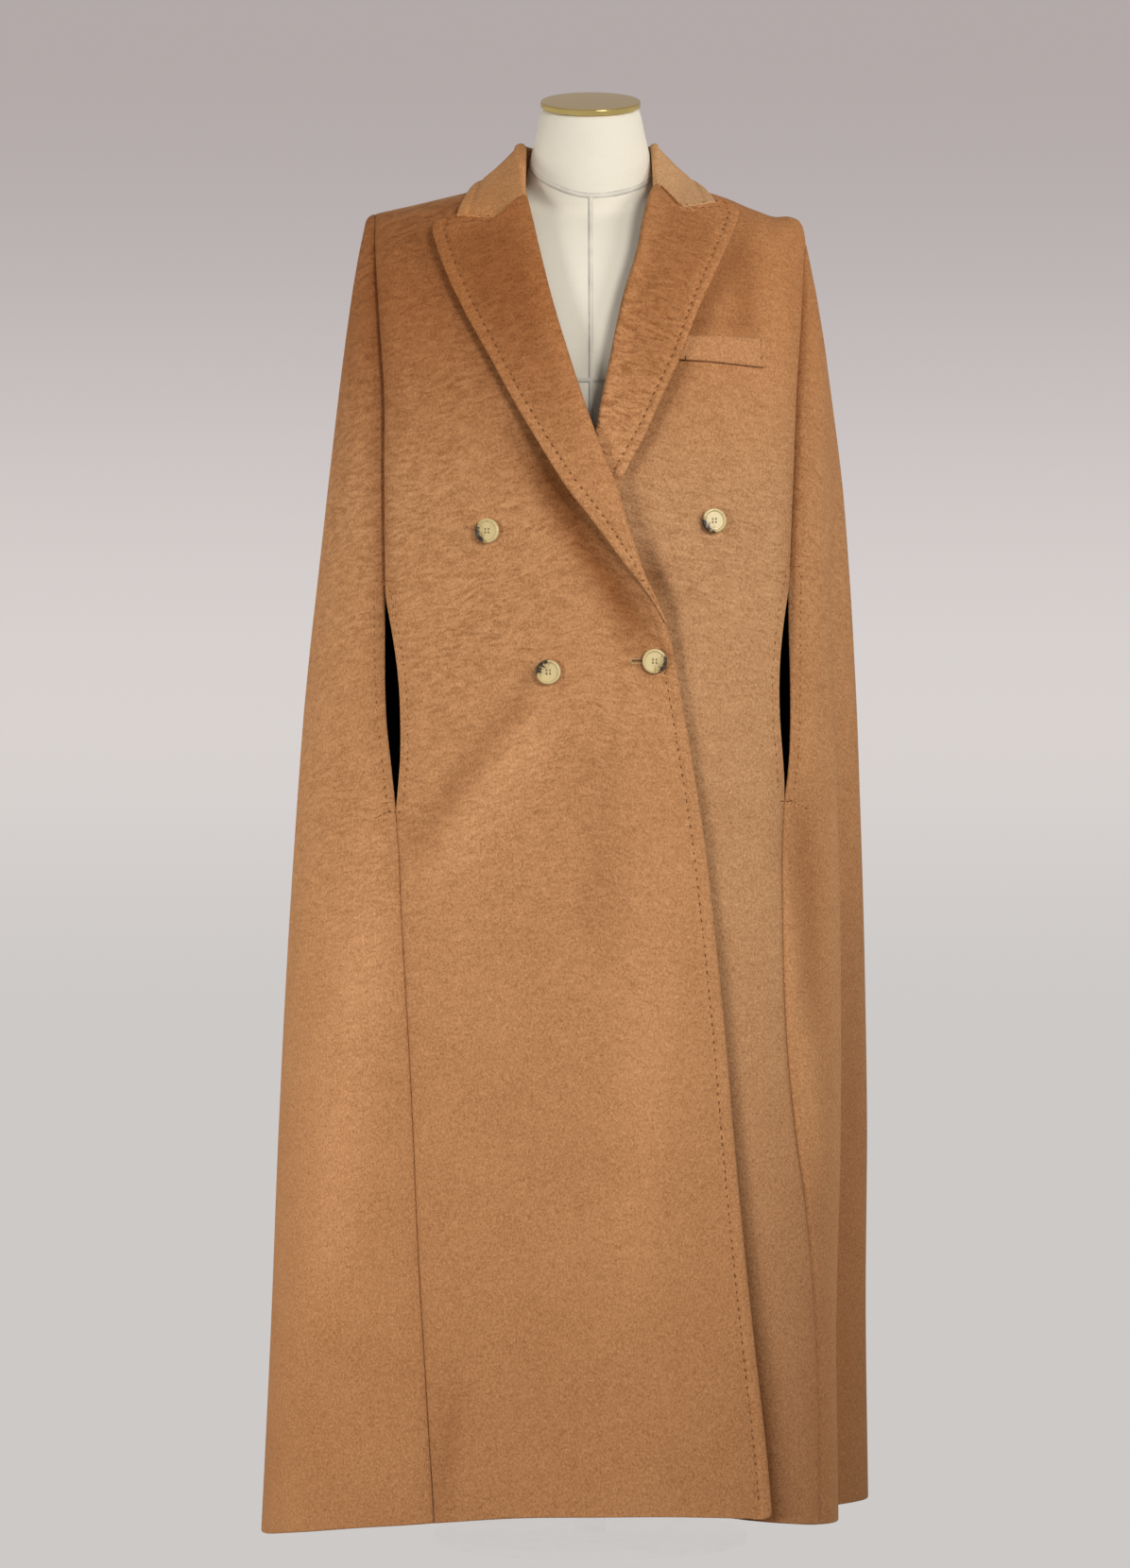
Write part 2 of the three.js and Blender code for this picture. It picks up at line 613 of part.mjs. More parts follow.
// Collar: stand up from the neckline, over the fold and down over the shoulders.
// s runs from the wearer's right gorge round the back to the left gorge, t from the foot to the edge.
const STAND_SHARE = 0.3;
const FOLD_SHARE = 0.55;
function collarFace(s, t) {
  const side = s < 0.5 ? "right" : "left";
  const sign = SIDES[side];
  const reach = Math.abs(s - 0.5) * 2;
  const station = reach * COLLAR_END[side];
  const get = (column) => along(COLLAR, "station", column, station);
  const plan = (angle, out) => [sign * out * Math.sin(angle * DEGREE), out * Math.cos(angle * DEGREE)];
  const outward = new THREE.Vector3(...plan(get("angle"), 1), 0);
  const foot = roofPlace(...plan(get("angle"), get("base"))).point;
  foot.z += get("foot");
  const fold = new THREE.Vector3(...plan(get("angle"), get("fold")), get("fold_z") - COLLAR_ROLL);
  if (t <= STAND_SHARE) return foot.lerp(fold, t / STAND_SHARE);
  if (t <= FOLD_SHARE) {
    const turn = (HALF_TURN * (t - STAND_SHARE)) / (FOLD_SHARE - STAND_SHARE);
    fold.addScaledVector(outward, COLLAR_ROLL * (1 - Math.cos(turn)));
    fold.z += COLLAR_ROLL * Math.sin(turn);
    return fold;
  }
  const leaf = (t - FOLD_SHARE) / (1 - FOLD_SHARE);
  const start = fold.addScaledVector(outward, 2 * COLLAR_ROLL);
  const rest = roofPlace(...plan(get("edge_angle"), get("edge")));
  const edge = rest.point.addScaledVector(rest.normal, COLLAR_EDGE_LIFT);
  const knee = start.clone().lerp(edge, COLLAR_KNEE.out);
  knee.z = mix(edge.z, start.z, COLLAR_KNEE.high);
  const fall = new THREE.QuadraticBezierCurve3(start, knee, edge).getPoint(leaf);
  const gorgeShare = soft((reach - (1 - COLLAR_GORGE_SHARE)) / COLLAR_GORGE_SHARE);
  if (gorgeShare === 0) return heldOff(fall, COLLAR_EDGE_LIFT);
  const top = LAPEL_TOP[side];
  const share = leaf * top[COLLAR_CORNER].share;
  const gorgeX = along(top, "share", "x", share);
  const gorgeZ = along(top, "share", "z", share) + COLLAR_GORGE_GAP;
  const place = frontPlace(gorgeX, gorgeZ, side === "right");
  const end = place.point.addScaledVector(place.normal, mix(2 * COLLAR_ROLL, COLLAR_EDGE_LIFT, leaf));
  return heldOff(fall.lerp(end, gorgeShare), COLLAR_EDGE_LIFT);
}

// Breast welt lying on the left front
function weltFace(s, t) {
  const x = mix(WELT.inner, WELT.outer, s) + WELT.slant * t * (1 - s);
  const z = mix(WELT.top_inner, WELT.top_outer, s) - mix(WELT.high_inner, WELT.high_outer, s) * t;
  const place = frontPlace(x, z, false);
  return place.point.addScaledVector(place.normal, WELT.gap + WELT.thick);
}

// Solid from a closed geometry and back
function solidFrom(geometry) {
  return new wasm.Manifold(
    new wasm.Mesh({
      numProp: 3,
      vertProperties: new Float32Array(geometry.getAttribute("position").array),
      triVerts: new Uint32Array(geometry.index.array),
    }),
  );
}
function geometryFrom(solid) {
  const mesh = solid.getMesh();
  return new THREE.BufferGeometry()
    .setAttribute("position", new THREE.BufferAttribute(new Float32Array(mesh.vertProperties), 3))
    .setIndex(new THREE.BufferAttribute(new Uint32Array(mesh.triVerts), 1));
}

// Closed skin of rings given as a function of turn and height, its two ends closed across the rings
function ringSkin(place, columns, rows) {
  const points = [];
  for (let j = 0; j <= rows; j += 1) {
    for (let i = 0; i < columns; i += 1) {
      points.push(place(-QUARTER_TURN + (2 * HALF_TURN * i) / columns, j / rows));
    }
  }
  const index = [];
  for (let j = 0; j < rows; j += 1) {
    for (let i = 0; i < columns; i += 1) {
      const a = j * columns + i;
      const b = j * columns + ((i + 1) % columns);
      index.push(a, a + columns, b, b, a + columns, b + columns);
    }
  }
  const foot = rows * columns;
  for (let i = 0; i < columns / 2; i += 1) {
    const pair = (columns - i) % columns;
    const next = columns - i - 1;
    if (i > 0) {
      index.push(i, i + 1, pair);
      index.push(foot + i, foot + pair, foot + i + 1);
    }
    if (next !== i + 1) {
      index.push(i + 1, next, pair);
      index.push(foot + i + 1, foot + pair, foot + next);
    }
  }
  return new THREE.BufferGeometry().setFromPoints(points).setIndex(index);
}

function neckPoint(angle, share) {
  const level = mix(NECK.length - 1, 0, share);
  const get = (column) => along(NECK, "level", column, level);
  const tilt = get("tilt") * DEGREE;
  const ahead = Math.cos(angle) * get("deep");
  return new THREE.Vector3(
    Math.sin(angle) * get("wide"),
    get("y") - ahead * Math.cos(tilt),
    get("z") - ahead * Math.sin(tilt),
  );
}

function torsoAndNeck() {
  const lastRing = TORSO.length - 1;
  const torso = solidFrom(
    ringSkin((angle, share) => ringPoint(TORSO, angle, share * lastRing), TORSO_COLUMNS, TORSO_ROWS),
  );
  const neck = solidFrom(ringSkin(neckPoint, TORSO_COLUMNS, NECK_ROWS));
  return geometryFrom(torso.add(neck));
}

// Turned profile with its axis on Z, closed on the axis
function turned(profile, segments) {
  const lathe = new THREE.LatheGeometry(
    profile.map(([radius, height]) => new THREE.Vector2(radius, height)),
    segments,
  );
  lathe.rotateX(QUARTER_TURN);
  return lathe;
}

// Horn button with a rim, a dished middle, four holes and a thread shank behind it
function buttonGeometry() {
  const { radius, bevel, edge, rim, slope, dish, thick, shank, stem } = BUTTON;
  const front = stem + thick;
  const flat = radius - edge - rim;
  const disc = wasm.Manifold.revolve(
    [
      [
        [0, 0],
        [shank, 0],
        [shank, stem],
        [radius - bevel, stem],
        [radius, stem + bevel],
        [radius, front - edge],
        [radius - edge, front],
        [flat, front],
        [flat - slope, front - dish],
        [0, front - dish],
      ],
    ],
    BUTTON_SEGMENTS,
  );
  const drill = wasm.Manifold.cylinder(thick, BUTTON.hole, BUTTON.hole, HOLE_SEGMENTS);
  const across = [-1, 1];
  const holes = across.flatMap((i) =>
    across.map((j) => drill.translate([i * BUTTON.pitch, j * BUTTON.pitch, front - dish - BUTTON.hole_deep])),
  );
  return geometryFrom(disc.subtract(wasm.Manifold.union(holes)));
}

const WOOL = { color: 0xb78457, roughness: 0.95, metalness: 0 };
const HORN = { color: 0xb9a27f, roughness: 0.35, metalness: 0 };
const LINEN = { color: 0xdcd5c3, roughness: 0.9, metalness: 0 };
const GOLD = { color: 0x9d8a63, roughness: 0.25, metalness: 1 };
const ACRYLIC = { color: 0xe8eeef, roughness: 0.1, metalness: 0, transparent: true, opacity: 0.3 };

const part = new THREE.Group();
function add(name, geometry, look) {
  const mesh = new THREE.Mesh(geometry, new THREE.MeshStandardMaterial(look));
  mesh.name = name;
  part.add(mesh);
  return mesh;
}

const fronts = {};
for (const side of Object.keys(SIDES)) {
  const front = wall(frontFace(side), FRONT_COLUMNS, panelRows(0), CLOTH, false);
  fronts["front_" + side] = add("front_" + side, front, WOOL);
  const sideRows = panelRows(SIDE_TOP[side]);
  add("side_" + side, wall(sideFace(side), SIDE_COLUMNS[side], sideRows, CLOTH, false), WOOL);
  const flip = side === "right";
  const lapelRows = (LAPEL_LEVELS[side].end - LAPEL_LEVELS[side].top) * ROWS_PER_LEVEL;
  const lapel = withNormal(lapelFace(side), flip);
  add("lapel_" + side, wall(lapel, TURN_COLUMNS + LEAF_COLUMNS, lapelRows, CLOTH, flip), WOOL);
}
add("back", wall(backFace, BACK_COLUMNS, panelRows(0), CLOTH, false), WOOL);
add("collar", wall(withNormal(collarFace, true), COLLAR_COLUMNS, COLLAR_ROWS, CLOTH, true), WOOL);
add("breast_welt", wall(withNormal(weltFace, false), WELT_COLUMNS, WELT_ROWS, WELT.thick, false), WOOL);

// Each button is seated where a line from far ahead meets its front
const FAR_AHEAD = -1000;
for (const { name, front, x, z } of BUTTONS) {
  const ray = new THREE.Raycaster(new THREE.Vector3(x, FAR_AHEAD, z), new THREE.Vector3(0, 1, 0));
  const hit = ray.intersectObject(fronts[front])[0];
  const button = add(name, buttonGeometry(), HORN);
  button.quaternion.setFromUnitVectors(new THREE.Vector3(0, 0, 1), hit.face.normal);
  button.position.copy(hit.point).addScaledVector(hit.face.normal, BUTTON.seat);
}

add("form_body", torsoAndNeck(), LINEN);

const top = NECK[NECK.length - 1];
const capProfile = [
  [0, 0],
  [CAP.radius, 0],
  [CAP.radius, CAP.thick - CAP.round],
  [CAP.radius - CAP.round, CAP.thick],
  [0, CAP.thick],
];
const cap = add("neck_cap", turned(capProfile, ROUND_SEGMENTS), GOLD);
cap.rotation.x = top.tilt * DEGREE;
const capAxis = new THREE.Vector3(0, 0, 1).applyEuler(cap.rotation);
cap.position.set(0, top.y, top.z).addScaledVector(capAxis, SEAM);

const torsoFoot = TORSO[TORSO.length - 1].z;
const poleProfile = [
  [0, BASE.thick + SEAM],
  [POLE.radius, BASE.thick + SEAM],
  [POLE.radius, torsoFoot - SEAM - POLE.collar_high],
  [POLE.collar, torsoFoot - SEAM - POLE.collar_high],
  [POLE.collar, torsoFoot - SEAM],
  [0, torsoFoot - SEAM],
];
add("pole", turned(poleProfile, ROUND_SEGMENTS), ACRYLIC);
const baseProfile = [
  [0, 0],
  [BASE.radius, 0],
  [BASE.radius, BASE.thick - BASE.edge],
  [BASE.radius - BASE.edge, BASE.thick],
  [0, BASE.thick],
];
add("base", turned(baseProfile, 2 * ROUND_SEGMENTS), ACRYLIC);

export default part;
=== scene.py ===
import bpy
import numpy as np
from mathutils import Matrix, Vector
from mathutils.bvhtree import BVHTree


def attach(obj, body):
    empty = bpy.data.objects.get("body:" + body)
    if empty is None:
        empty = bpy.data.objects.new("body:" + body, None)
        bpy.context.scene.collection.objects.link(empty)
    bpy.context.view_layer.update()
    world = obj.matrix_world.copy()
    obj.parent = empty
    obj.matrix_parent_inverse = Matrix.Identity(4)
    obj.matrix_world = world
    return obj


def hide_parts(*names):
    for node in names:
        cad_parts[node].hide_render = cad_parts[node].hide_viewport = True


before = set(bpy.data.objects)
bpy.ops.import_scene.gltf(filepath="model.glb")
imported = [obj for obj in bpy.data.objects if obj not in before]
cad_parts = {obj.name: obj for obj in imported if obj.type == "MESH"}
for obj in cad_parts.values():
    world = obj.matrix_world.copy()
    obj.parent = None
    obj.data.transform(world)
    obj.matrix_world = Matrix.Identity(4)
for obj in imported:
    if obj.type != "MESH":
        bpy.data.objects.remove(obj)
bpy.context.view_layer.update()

# Base and pole: a round plate on the floor and a rod that carries the form, both of clear polished acrylic.
# The rod stands on the plate and ends in a flange under the form.
MM = 0.001
BASE = {"radius": 150, "thick": 8, "edge": 1.5, "bevel": 0.4, "foot_edge": 0.4, "segments": 160}
POLE = {"radius": 15, "flange": 45, "flange_high": 14, "foot": 8.3, "top": 599.7, "edge": 1, "segments": 64}
SHARP_EDGE = 35
ACRYLIC = (0.90, 0.93, 0.94, 1)
ACRYLIC_DUST = (0.78, 0.79, 0.79, 1)


class Value:
    """One output of a material's node tree; arithmetic on it adds Math nodes."""

    def __init__(self, finish, socket):
        self.finish = finish
        self.socket = socket

    def math(self, operation, first, second):
        """Output of one Math node."""
        return self.finish.node("Math", {"operation": operation}, {0: first, 1: second})

    def __add__(self, other):
        return self.math("ADD", self, other)

    def __sub__(self, other):
        return self.math("SUBTRACT", self, other)

    def __rsub__(self, other):
        return self.math("SUBTRACT", other, self)

    def __mul__(self, other):
        return self.math("MULTIPLY", self, other)

    __radd__ = __add__
    __rmul__ = __mul__


class Finish:
    """A material whose nodes are added one by one and end in one surface shader."""

    def __init__(self, name):
        self.material = bpy.data.materials.new(name)
        self.material.use_nodes = True
        self.tree = self.material.node_tree
        self.tree.nodes.clear()

    def node(self, kind, settings=None, sockets=None, out=0):
        """A node of that kind: its settings are set first, then values or links go to its sockets."""
        made = self.tree.nodes.new("ShaderNode" + kind)
        for name, setting in (settings or {}).items():
            setattr(made, name, setting)
        for name, value in (sockets or {}).items():
            if isinstance(value, Value):
                self.tree.links.new(value.socket, made.inputs[name])
            else:
                made.inputs[name].default_value = value
        return Value(self, made.outputs[out]) if made.outputs else None

    def place(self, scale=(1, 1, 1)):
        """Object coordinates in metres, multiplied by a scale along each axis."""
        where = self.node("TexCoord", out="Object")
        return self.node("VectorMath", {"operation": "MULTIPLY"}, {0: where, 1: scale})

    def mark(self, name):
        """Value of a point attribute of the piece."""
        return self.node("Attribute", {"attribute_name": name}, out="Fac")

    def noise(self, place, scale, detail=2.0, distortion=0.0):
        """Cloudy pattern around a half with about `scale` grains a metre."""
        sockets = {"Vector": place, "Scale": scale, "Detail": detail, "Distortion": distortion}
        return self.node("TexNoise", {}, sockets)

    def ramp(self, value, low, high, start=0.0, end=1.0):
        """Soft step from start at low to end at high."""
        sockets = {"Value": value, "From Min": low, "From Max": high, "To Min": start, "To Max": end}
        return self.node("MapRange", {"interpolation_type": "SMOOTHSTEP"}, sockets)

    def blend(self, share, first, second):
        """Colour mixed from first to second."""
        return self.node("Mix", {"data_type": "RGBA"}, {0: share, 6: first, 7: second}, 2)

    def bump(self, height, deep):
        """Normal of a relief that is `deep` metres from its lowest to its highest."""
        return self.node("Bump", {}, {"Height": height, "Distance": deep, "Strength": 1.0})

    def surface(self, sockets):
        """The finished material, with one shader that has those sockets."""
        shader = self.node("BsdfPrincipled", {}, sockets)
        self.node("OutputMaterial", {}, {"Surface": shader})
        return self.material


def acrylic():
    """Clear acrylic: almost see-through, with a breath of dust that dulls it in patches."""
    finish = Finish("clear_acrylic")
    dust = finish.ramp(finish.noise(finish.place(), 45, 4), 0.4, 0.75)
    return finish.surface({
        "Base Color": finish.blend(dust, ACRYLIC, ACRYLIC_DUST),
        "Roughness": finish.ramp(dust, 0.0, 1.0, 0.06, 0.2),
        "Alpha": finish.ramp(dust, 0.0, 1.0, 0.015, 0.03),
        "IOR": 1.2,
    })


def put(name, vertices, faces, material, slot, *replaced, sharp=None):
    """Piece from points in millimetres and lists of faces, smooth but for edges over `sharp` degrees."""
    mesh = bpy.data.meshes.new(name)
    listed = [face for group in faces for face in np.asarray(group).tolist()]
    mesh.from_pydata((np.asarray(vertices) * MM).tolist(), [], listed)
    mesh.shade_smooth()
    if sharp:
        mesh.set_sharp_from_angle(angle=np.radians(sharp))
    mesh.materials.append(material)
    piece = bpy.data.objects.new(name, mesh)
    bpy.context.scene.collection.objects.link(piece)
    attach(piece, "root")
    if replaced:
        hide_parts(*replaced)
    return piece


def xyz(x, y, z):
    """Points or directions from three coordinates, spread over one shape."""
    return np.stack(np.broadcast_arrays(x, y, z), -1)


def quads(index):
    """Four-sided faces between the neighbours in a grid of point numbers."""
    corners = index[:-1, :-1], index[1:, :-1], index[1:, 1:], index[:-1, 1:]
    return np.stack(corners, -1).reshape(-1, 4)


def turned(profile, segments):
    """Profile of (radius, height) carried round the axis; its first and last points lie on the axis."""
    radius, height = np.array(profile, float).T
    turn = np.arange(segments) * 2 * np.pi / segments
    out = radius[1:-1, None]
    middle = xyz(out * np.cos(turn), out * np.sin(turn), height[1:-1, None]).reshape(-1, 3)
    vertices = np.concatenate([[[0, 0, height[0]]], middle, [[0, 0, height[-1]]]])
    index = 1 + np.arange(len(middle)).reshape(-1, segments)
    after = np.roll(index, -1, 1)
    sides = np.stack([index[:-1], after[:-1], after[1:], index[1:]], -1).reshape(-1, 4)
    foot = np.stack([0 * turn.astype(int), after[0], index[0]], -1)
    top = np.stack([0 * index[-1] + len(vertices) - 1, index[-1], after[-1]], -1)
    return vertices, [sides, foot, top]


base_profile = [
    (0, 0),
    (BASE["radius"] - BASE["foot_edge"], 0),
    (BASE["radius"], BASE["foot_edge"]),
    (BASE["radius"], BASE["thick"] - BASE["edge"]),
    (BASE["radius"] - BASE["bevel"] * BASE["edge"], BASE["thick"] - BASE["bevel"] * BASE["edge"]),
    (BASE["radius"] - BASE["edge"], BASE["thick"]),
    (0, BASE["thick"]),
]
flange_foot = POLE["top"] - POLE["flange_high"]
pole_profile = [
    (0, POLE["foot"]),
    (POLE["radius"], POLE["foot"]),
    (POLE["radius"], flange_foot),
    (POLE["flange"] - POLE["edge"], flange_foot),
    (POLE["flange"], flange_foot + POLE["edge"]),
    (POLE["flange"], POLE["top"] - POLE["edge"]),
    (POLE["flange"] - POLE["edge"], POLE["top"]),
    (0, POLE["top"]),
]
clear = acrylic()
put("base_plate", *turned(base_profile, BASE["segments"]), clear, "stand", "base", sharp=SHARP_EDGE)
put("pole_tube", *turned(pole_profile, POLE["segments"]), clear, "stand", "pole", sharp=SHARP_EDGE)

# Dress form: a padded torso and neck under a tight cover of cream linen.
# The sewing lines are marked with narrow grey tapes round the neck, down the front and over the bust.
TORSO = {
    "level": range(14),
    "z": [1259.4, 1257, 1249, 1234, 1208, 1168, 1105, 1050, 960, 890, 800, 710, 640, 600],
    "left": [168, 176, 182, 186, 188, 184, 171, 160, 132, 118, 146, 167, 168, 160],
    "right": [166, 173, 179, 184, 186, 183, 171, 160, 132, 118, 146, 167, 168, 160],
    "front": [1, 11, 27, 46, 71, 93, 112, 113, 95, 88, 98, 107, 106, 100],
    "back": [1, 12, 30, 50, 72, 90, 98, 94, 79, 77, 101, 118, 115, 108],
    "round": [2.2] * 14,
    "slope": [1, 1, 1, 0.93, 0.75, 0.48, 0.2, 0.05, 0, 0, 0, 0, 0, 0],
}
SHOULDER_LINE = {
    "out": [0, 68, 130, 158, 174, 188, 205],
    "left": [40, 29.6, 16.5, 10, 6.4, 3.6, 0],
    "right": [40, 29.6, 14, 3, -3, -2.6, -7],
}
NECK = {
    "level": range(5),
    "z": [1363.6, 1340, 1312, 1285, 1236],
    "y": [-13, -10, -5, -1, 6],
    "wide": [46.8, 51.5, 58, 62.5, 62],
    "deep": [46.8, 51.5, 58, 60.5, 58],
    "tilt": [17, 15.5, 13, 10, 6],
}
FORM = {"around": 96, "torso_rings": 105, "neck_rings": 40, "voxel": 3.5, "smooth": 0.5, "times": 14}
TAPE = {"wide": 4.4, "thick": 0.45, "thread": 0.14, "flat": 0.9, "shoulder": 0.8, "thread_high": 0.6}
NECK_TAPE = {"front": 1274.5, "rise": 57, "right_rise": 10, "axis": -4}
FRONT_TAPE = {"foot": 640, "axis": -20}
BUST_TAPE = 1097
LINEN_DARK = (0.76, 0.70, 0.575, 1)
LINEN_PALE = (0.89, 0.84, 0.715, 1)
TAPE_GREY = (0.66, 0.62, 0.54, 1)
TAPE_PALE = (0.80, 0.745, 0.64, 1)
EDGE_DARK = (0.151, 0.151, 0.151, 1)
EDGE_GREY = (0.75, 0.69, 0.57, 1)


def along(table, column, place):
    """Smooth value of a column at a place in the table's first column: a cubic between rows, whose slope
    at a row is the mean of those beside it."""
    at, value = np.array(next(iter(table.values())), float), np.array(table[column], float)
    place = np.clip(place, at[0], at[-1])
    row = np.clip(np.searchsorted(at, place) - 1, 0, len(at) - 2)
    secant = np.diff(value) / np.diff(at)
    slope = np.concatenate([secant[:1], (secant[:-1] + secant[1:]) / 2, secant[-1:]])
    width = np.diff(at)[row]
    u = (place - at[row]) / width
    start = value[row] * (1 + 2 * u) * (1 - u) ** 2 + slope[row] * width * u * (1 - u) ** 2
    end = value[row + 1] * u ** 2 * (3 - 2 * u) - slope[row + 1] * width * u ** 2 * (1 - u)
    return start + end


def row_at(table, place):
    """Smooth values of all columns of a table at one place."""
    return {column: along(table, column, place) for column in table}


def sided(table, columns, first, place):
    """Smooth value of the first of two columns where `first` is true, and of the second elsewhere."""
    return np.where(first, *(along(table, column, place) for column in columns))


def ring(table, angle, level):
    """Point of a rounded ring: half width by sine and depth by cosine, each to the power 2 / round.
    The height follows the shoulder line by the share in the column slope."""
    across, ahead = np.sin(angle), np.cos(angle)
    half = sided(table, ("left", "right"), across < 0, level)
    deep = sided(table, ("back", "front"), ahead < 0, level)
    power = 2 / along(table, "round", level)
    x = half * np.sign(across) * np.abs(across) ** power
    y = -deep * np.sign(ahead) * np.abs(ahead) ** power
    rise = sided(SHOULDER_LINE, ("left", "right"), x < 0, np.abs(x))
    z = along(table, "z", level) + along(table, "slope", level) * rise
    return xyz(x, y, z)


def neck_slice(angle, level):
    """Point of an ellipse across the neck that leans forward by the slice's tilt."""
    at = row_at(NECK, level)
    tilt = np.radians(at["tilt"])
    ahead = np.cos(angle) * at["deep"]
    return xyz(np.sin(angle) * at["wide"], at["y"] - ahead * np.cos(tilt), at["z"] - ahead * np.sin(tilt))


def closed_rings(points, start):
    """Faces of a skin of rings numbered from `start`, with one face across each end."""
    rows, columns = points.shape[:2]
    index = start + np.arange(rows * columns).reshape(rows, columns)
    return [quads(np.concatenate([index, index[:, :1]], 1)), index[:1], index[-1:, ::-1]]


def linen():
    """Plain linen: crossed fine threads, slubs along them and a slow cloud of tone."""
    finish = Finish("linen")
    cloud = finish.noise(finish.place(), 9, 3)
    warp = finish.noise(finish.place((1500, 1500, 90)), 1.0, 1)
    weft = finish.noise(finish.place((90, 90, 1500)), 1.0, 1)
    weave = 0.5 * warp + 0.5 * weft
    tone = 0.55 * weave + 0.65 * cloud - 0.05
    return finish.surface({
        "Base Color": finish.blend(tone, LINEN_DARK, LINEN_PALE),
        "Roughness": finish.ramp(weave, 0.3, 0.7, 0.8, 0.92),
        "Specular IOR Level": 0.25,
        "Sheen Weight": 0.12,
        "Sheen Roughness": 0.5,
        "Normal": finish.bump(weave, 0.0003),
    })


around = np.linspace(0, 2 * np.pi, FORM["around"] + 1)[:-1]
torso_points = ring(TORSO, around, np.linspace(0, TORSO["level"][-1], FORM["torso_rings"])[:, None])
neck_points = neck_slice(around, np.linspace(0, NECK["level"][-1], FORM["neck_rings"])[:, None])
form_points = np.concatenate([torso_points.reshape(-1, 3), neck_points.reshape(-1, 3)])
form_faces = closed_rings(torso_points, 0) + closed_rings(neck_points, torso_points.size // 3)
form = put("form_cover", form_points, form_faces, linen(), "linen", "form_body")
remesh = form.modifiers.new("cover", "REMESH")
remesh.mode = "VOXEL"
remesh.voxel_size = FORM["voxel"] * MM
remesh.use_smooth_shade = True
smooth = form.modifiers.new("soft", "SMOOTH")
smooth.factor = FORM["smooth"]
smooth.iterations = FORM["times"]
bpy.context.view_layer.update()
made = bpy.data.meshes.new_from_object(form.evaluated_get(bpy.context.evaluated_depsgraph_get()))
form.modifiers.clear()
form.data = made
skin = BVHTree.FromPolygons([v.co for v in made.vertices], [p.vertices for p in made.polygons])


def on_form(origins, directions):
    """Points and outward directions where lines from inside the form leave its cover."""
    hits = [skin.ray_cast(Vector(o) * MM, Vector(d)) for o, d in zip(origins, directions)]
    point = np.array([hit[0] for hit in hits]) / MM
    outward = np.array([hit[1] for hit in hits])
    return point, outward * np.sign(np.sum(outward * directions, -1, keepdims=True))


def unit(vectors):
    """The same directions with a length of one."""
    return vectors / np.linalg.norm(vectors, axis=-1, keepdims=True)


def circle(radius, count):
    """Outline of a round cord."""
    turn = np.linspace(0, 2 * np.pi, count + 1)[:-1]
    return np.stack([np.cos(turn), np.sin(turn)], -1) * radius


def swept(path, up, profile, closed=False):
    """Outline of (across, up) carried along a path; across is square to the path and to up."""
    wrapped = np.concatenate([path[-1:], path, path[:1]]) if closed else path
    run = np.gradient(wrapped, axis=0)[1:-1] if closed else np.gradient(wrapped, axis=0)
    across = unit(np.cross(run, up))
    profile = np.array(profile, float)
    points = path[:, None] + across[:, None] * profile[:, :1] + up[:, None] * profile[:, 1:]
    rows, columns = points.shape[:2]
    index = np.arange(rows * columns).reshape(rows, columns)
    index = np.concatenate([index, index[:, :1]], 1)
    ends = [] if closed else [index[:1, -2::-1], index[-1:, :-1]]
    faces = quads(np.concatenate([index, index[:1]]) if closed else index)
    return points.reshape(-1, 3), [faces[:, ::-1]] + ends


def joined(parts):
    """Several (points, faces) as one."""
    starts = np.cumsum([0] + [len(points) for points, _ in parts])
    faces = [np.asarray(group) + start for start, (_, groups) in zip(starts, parts) for group in groups]
    return np.concatenate([points for points, _ in parts]), faces


def tape_finish(name, deep, pale):
    """Woven tape: fine cross ribs, and patches where the darker thread shows."""
    finish = Finish(name)
    rib = finish.noise(finish.place(), 1600, 1)
    patch = finish.noise(finish.place(), 55, 2)
    return finish.surface({
        "Base Color": finish.blend(finish.ramp(0.5 * rib + 0.7 * patch, 0.4, 0.8), deep, pale),
        "Roughness": finish.ramp(rib, 0.3, 0.7, 0.6, 0.8),
        "Normal": finish.bump(rib, 0.0002),
    })


half_tape = TAPE["wide"] / 2
tape_outline = [
    (-half_tape, -TAPE["thick"]),
    (-half_tape * TAPE["flat"], TAPE["thick"] * TAPE["shoulder"]),
    (0, TAPE["thick"]),
    (half_tape * TAPE["flat"], TAPE["thick"] * TAPE["shoulder"]),
    (half_tape, -TAPE["thick"]),
]
turn = np.linspace(-np.pi, np.pi, 181)[:-1]
outward = xyz(np.sin(turn), -np.cos(turn), 0)
neck_height = NECK_TAPE["front"] + NECK_TAPE["rise"] * np.sin(turn / 2) ** 2
neck_height = neck_height + NECK_TAPE["right_rise"] * np.maximum(0, -np.sin(turn)) ** 1.5
drop = np.linspace(NECK_TAPE["front"], FRONT_TAPE["foot"], 150)
routes = [
    (*on_form(xyz(0, NECK_TAPE["axis"], neck_height), outward), True),
    (*on_form(xyz(0, 0, BUST_TAPE + 0 * turn), outward), True),
    (*on_form(xyz(0, FRONT_TAPE["axis"], drop), xyz(0, -1.0, 0 * drop)), False),
]
tapes = joined([swept(path, up, tape_outline, closed) for path, up, closed in routes])
put("form_tapes", *tapes, tape_finish("tape", TAPE_GREY, TAPE_PALE), "linen")
cord = circle(TAPE["thread"], 6)
threads = [
    swept(path, up, cord + [half_tape * edge, TAPE["thick"] * TAPE["thread_high"]], closed)
    for (path, up, closed), edges in zip(routes, [(-1, 1), (1,), (1,)]) for edge in edges
]
put("tape_edges", *joined(threads), tape_finish("tape_edge", EDGE_DARK, EDGE_GREY), "linen")

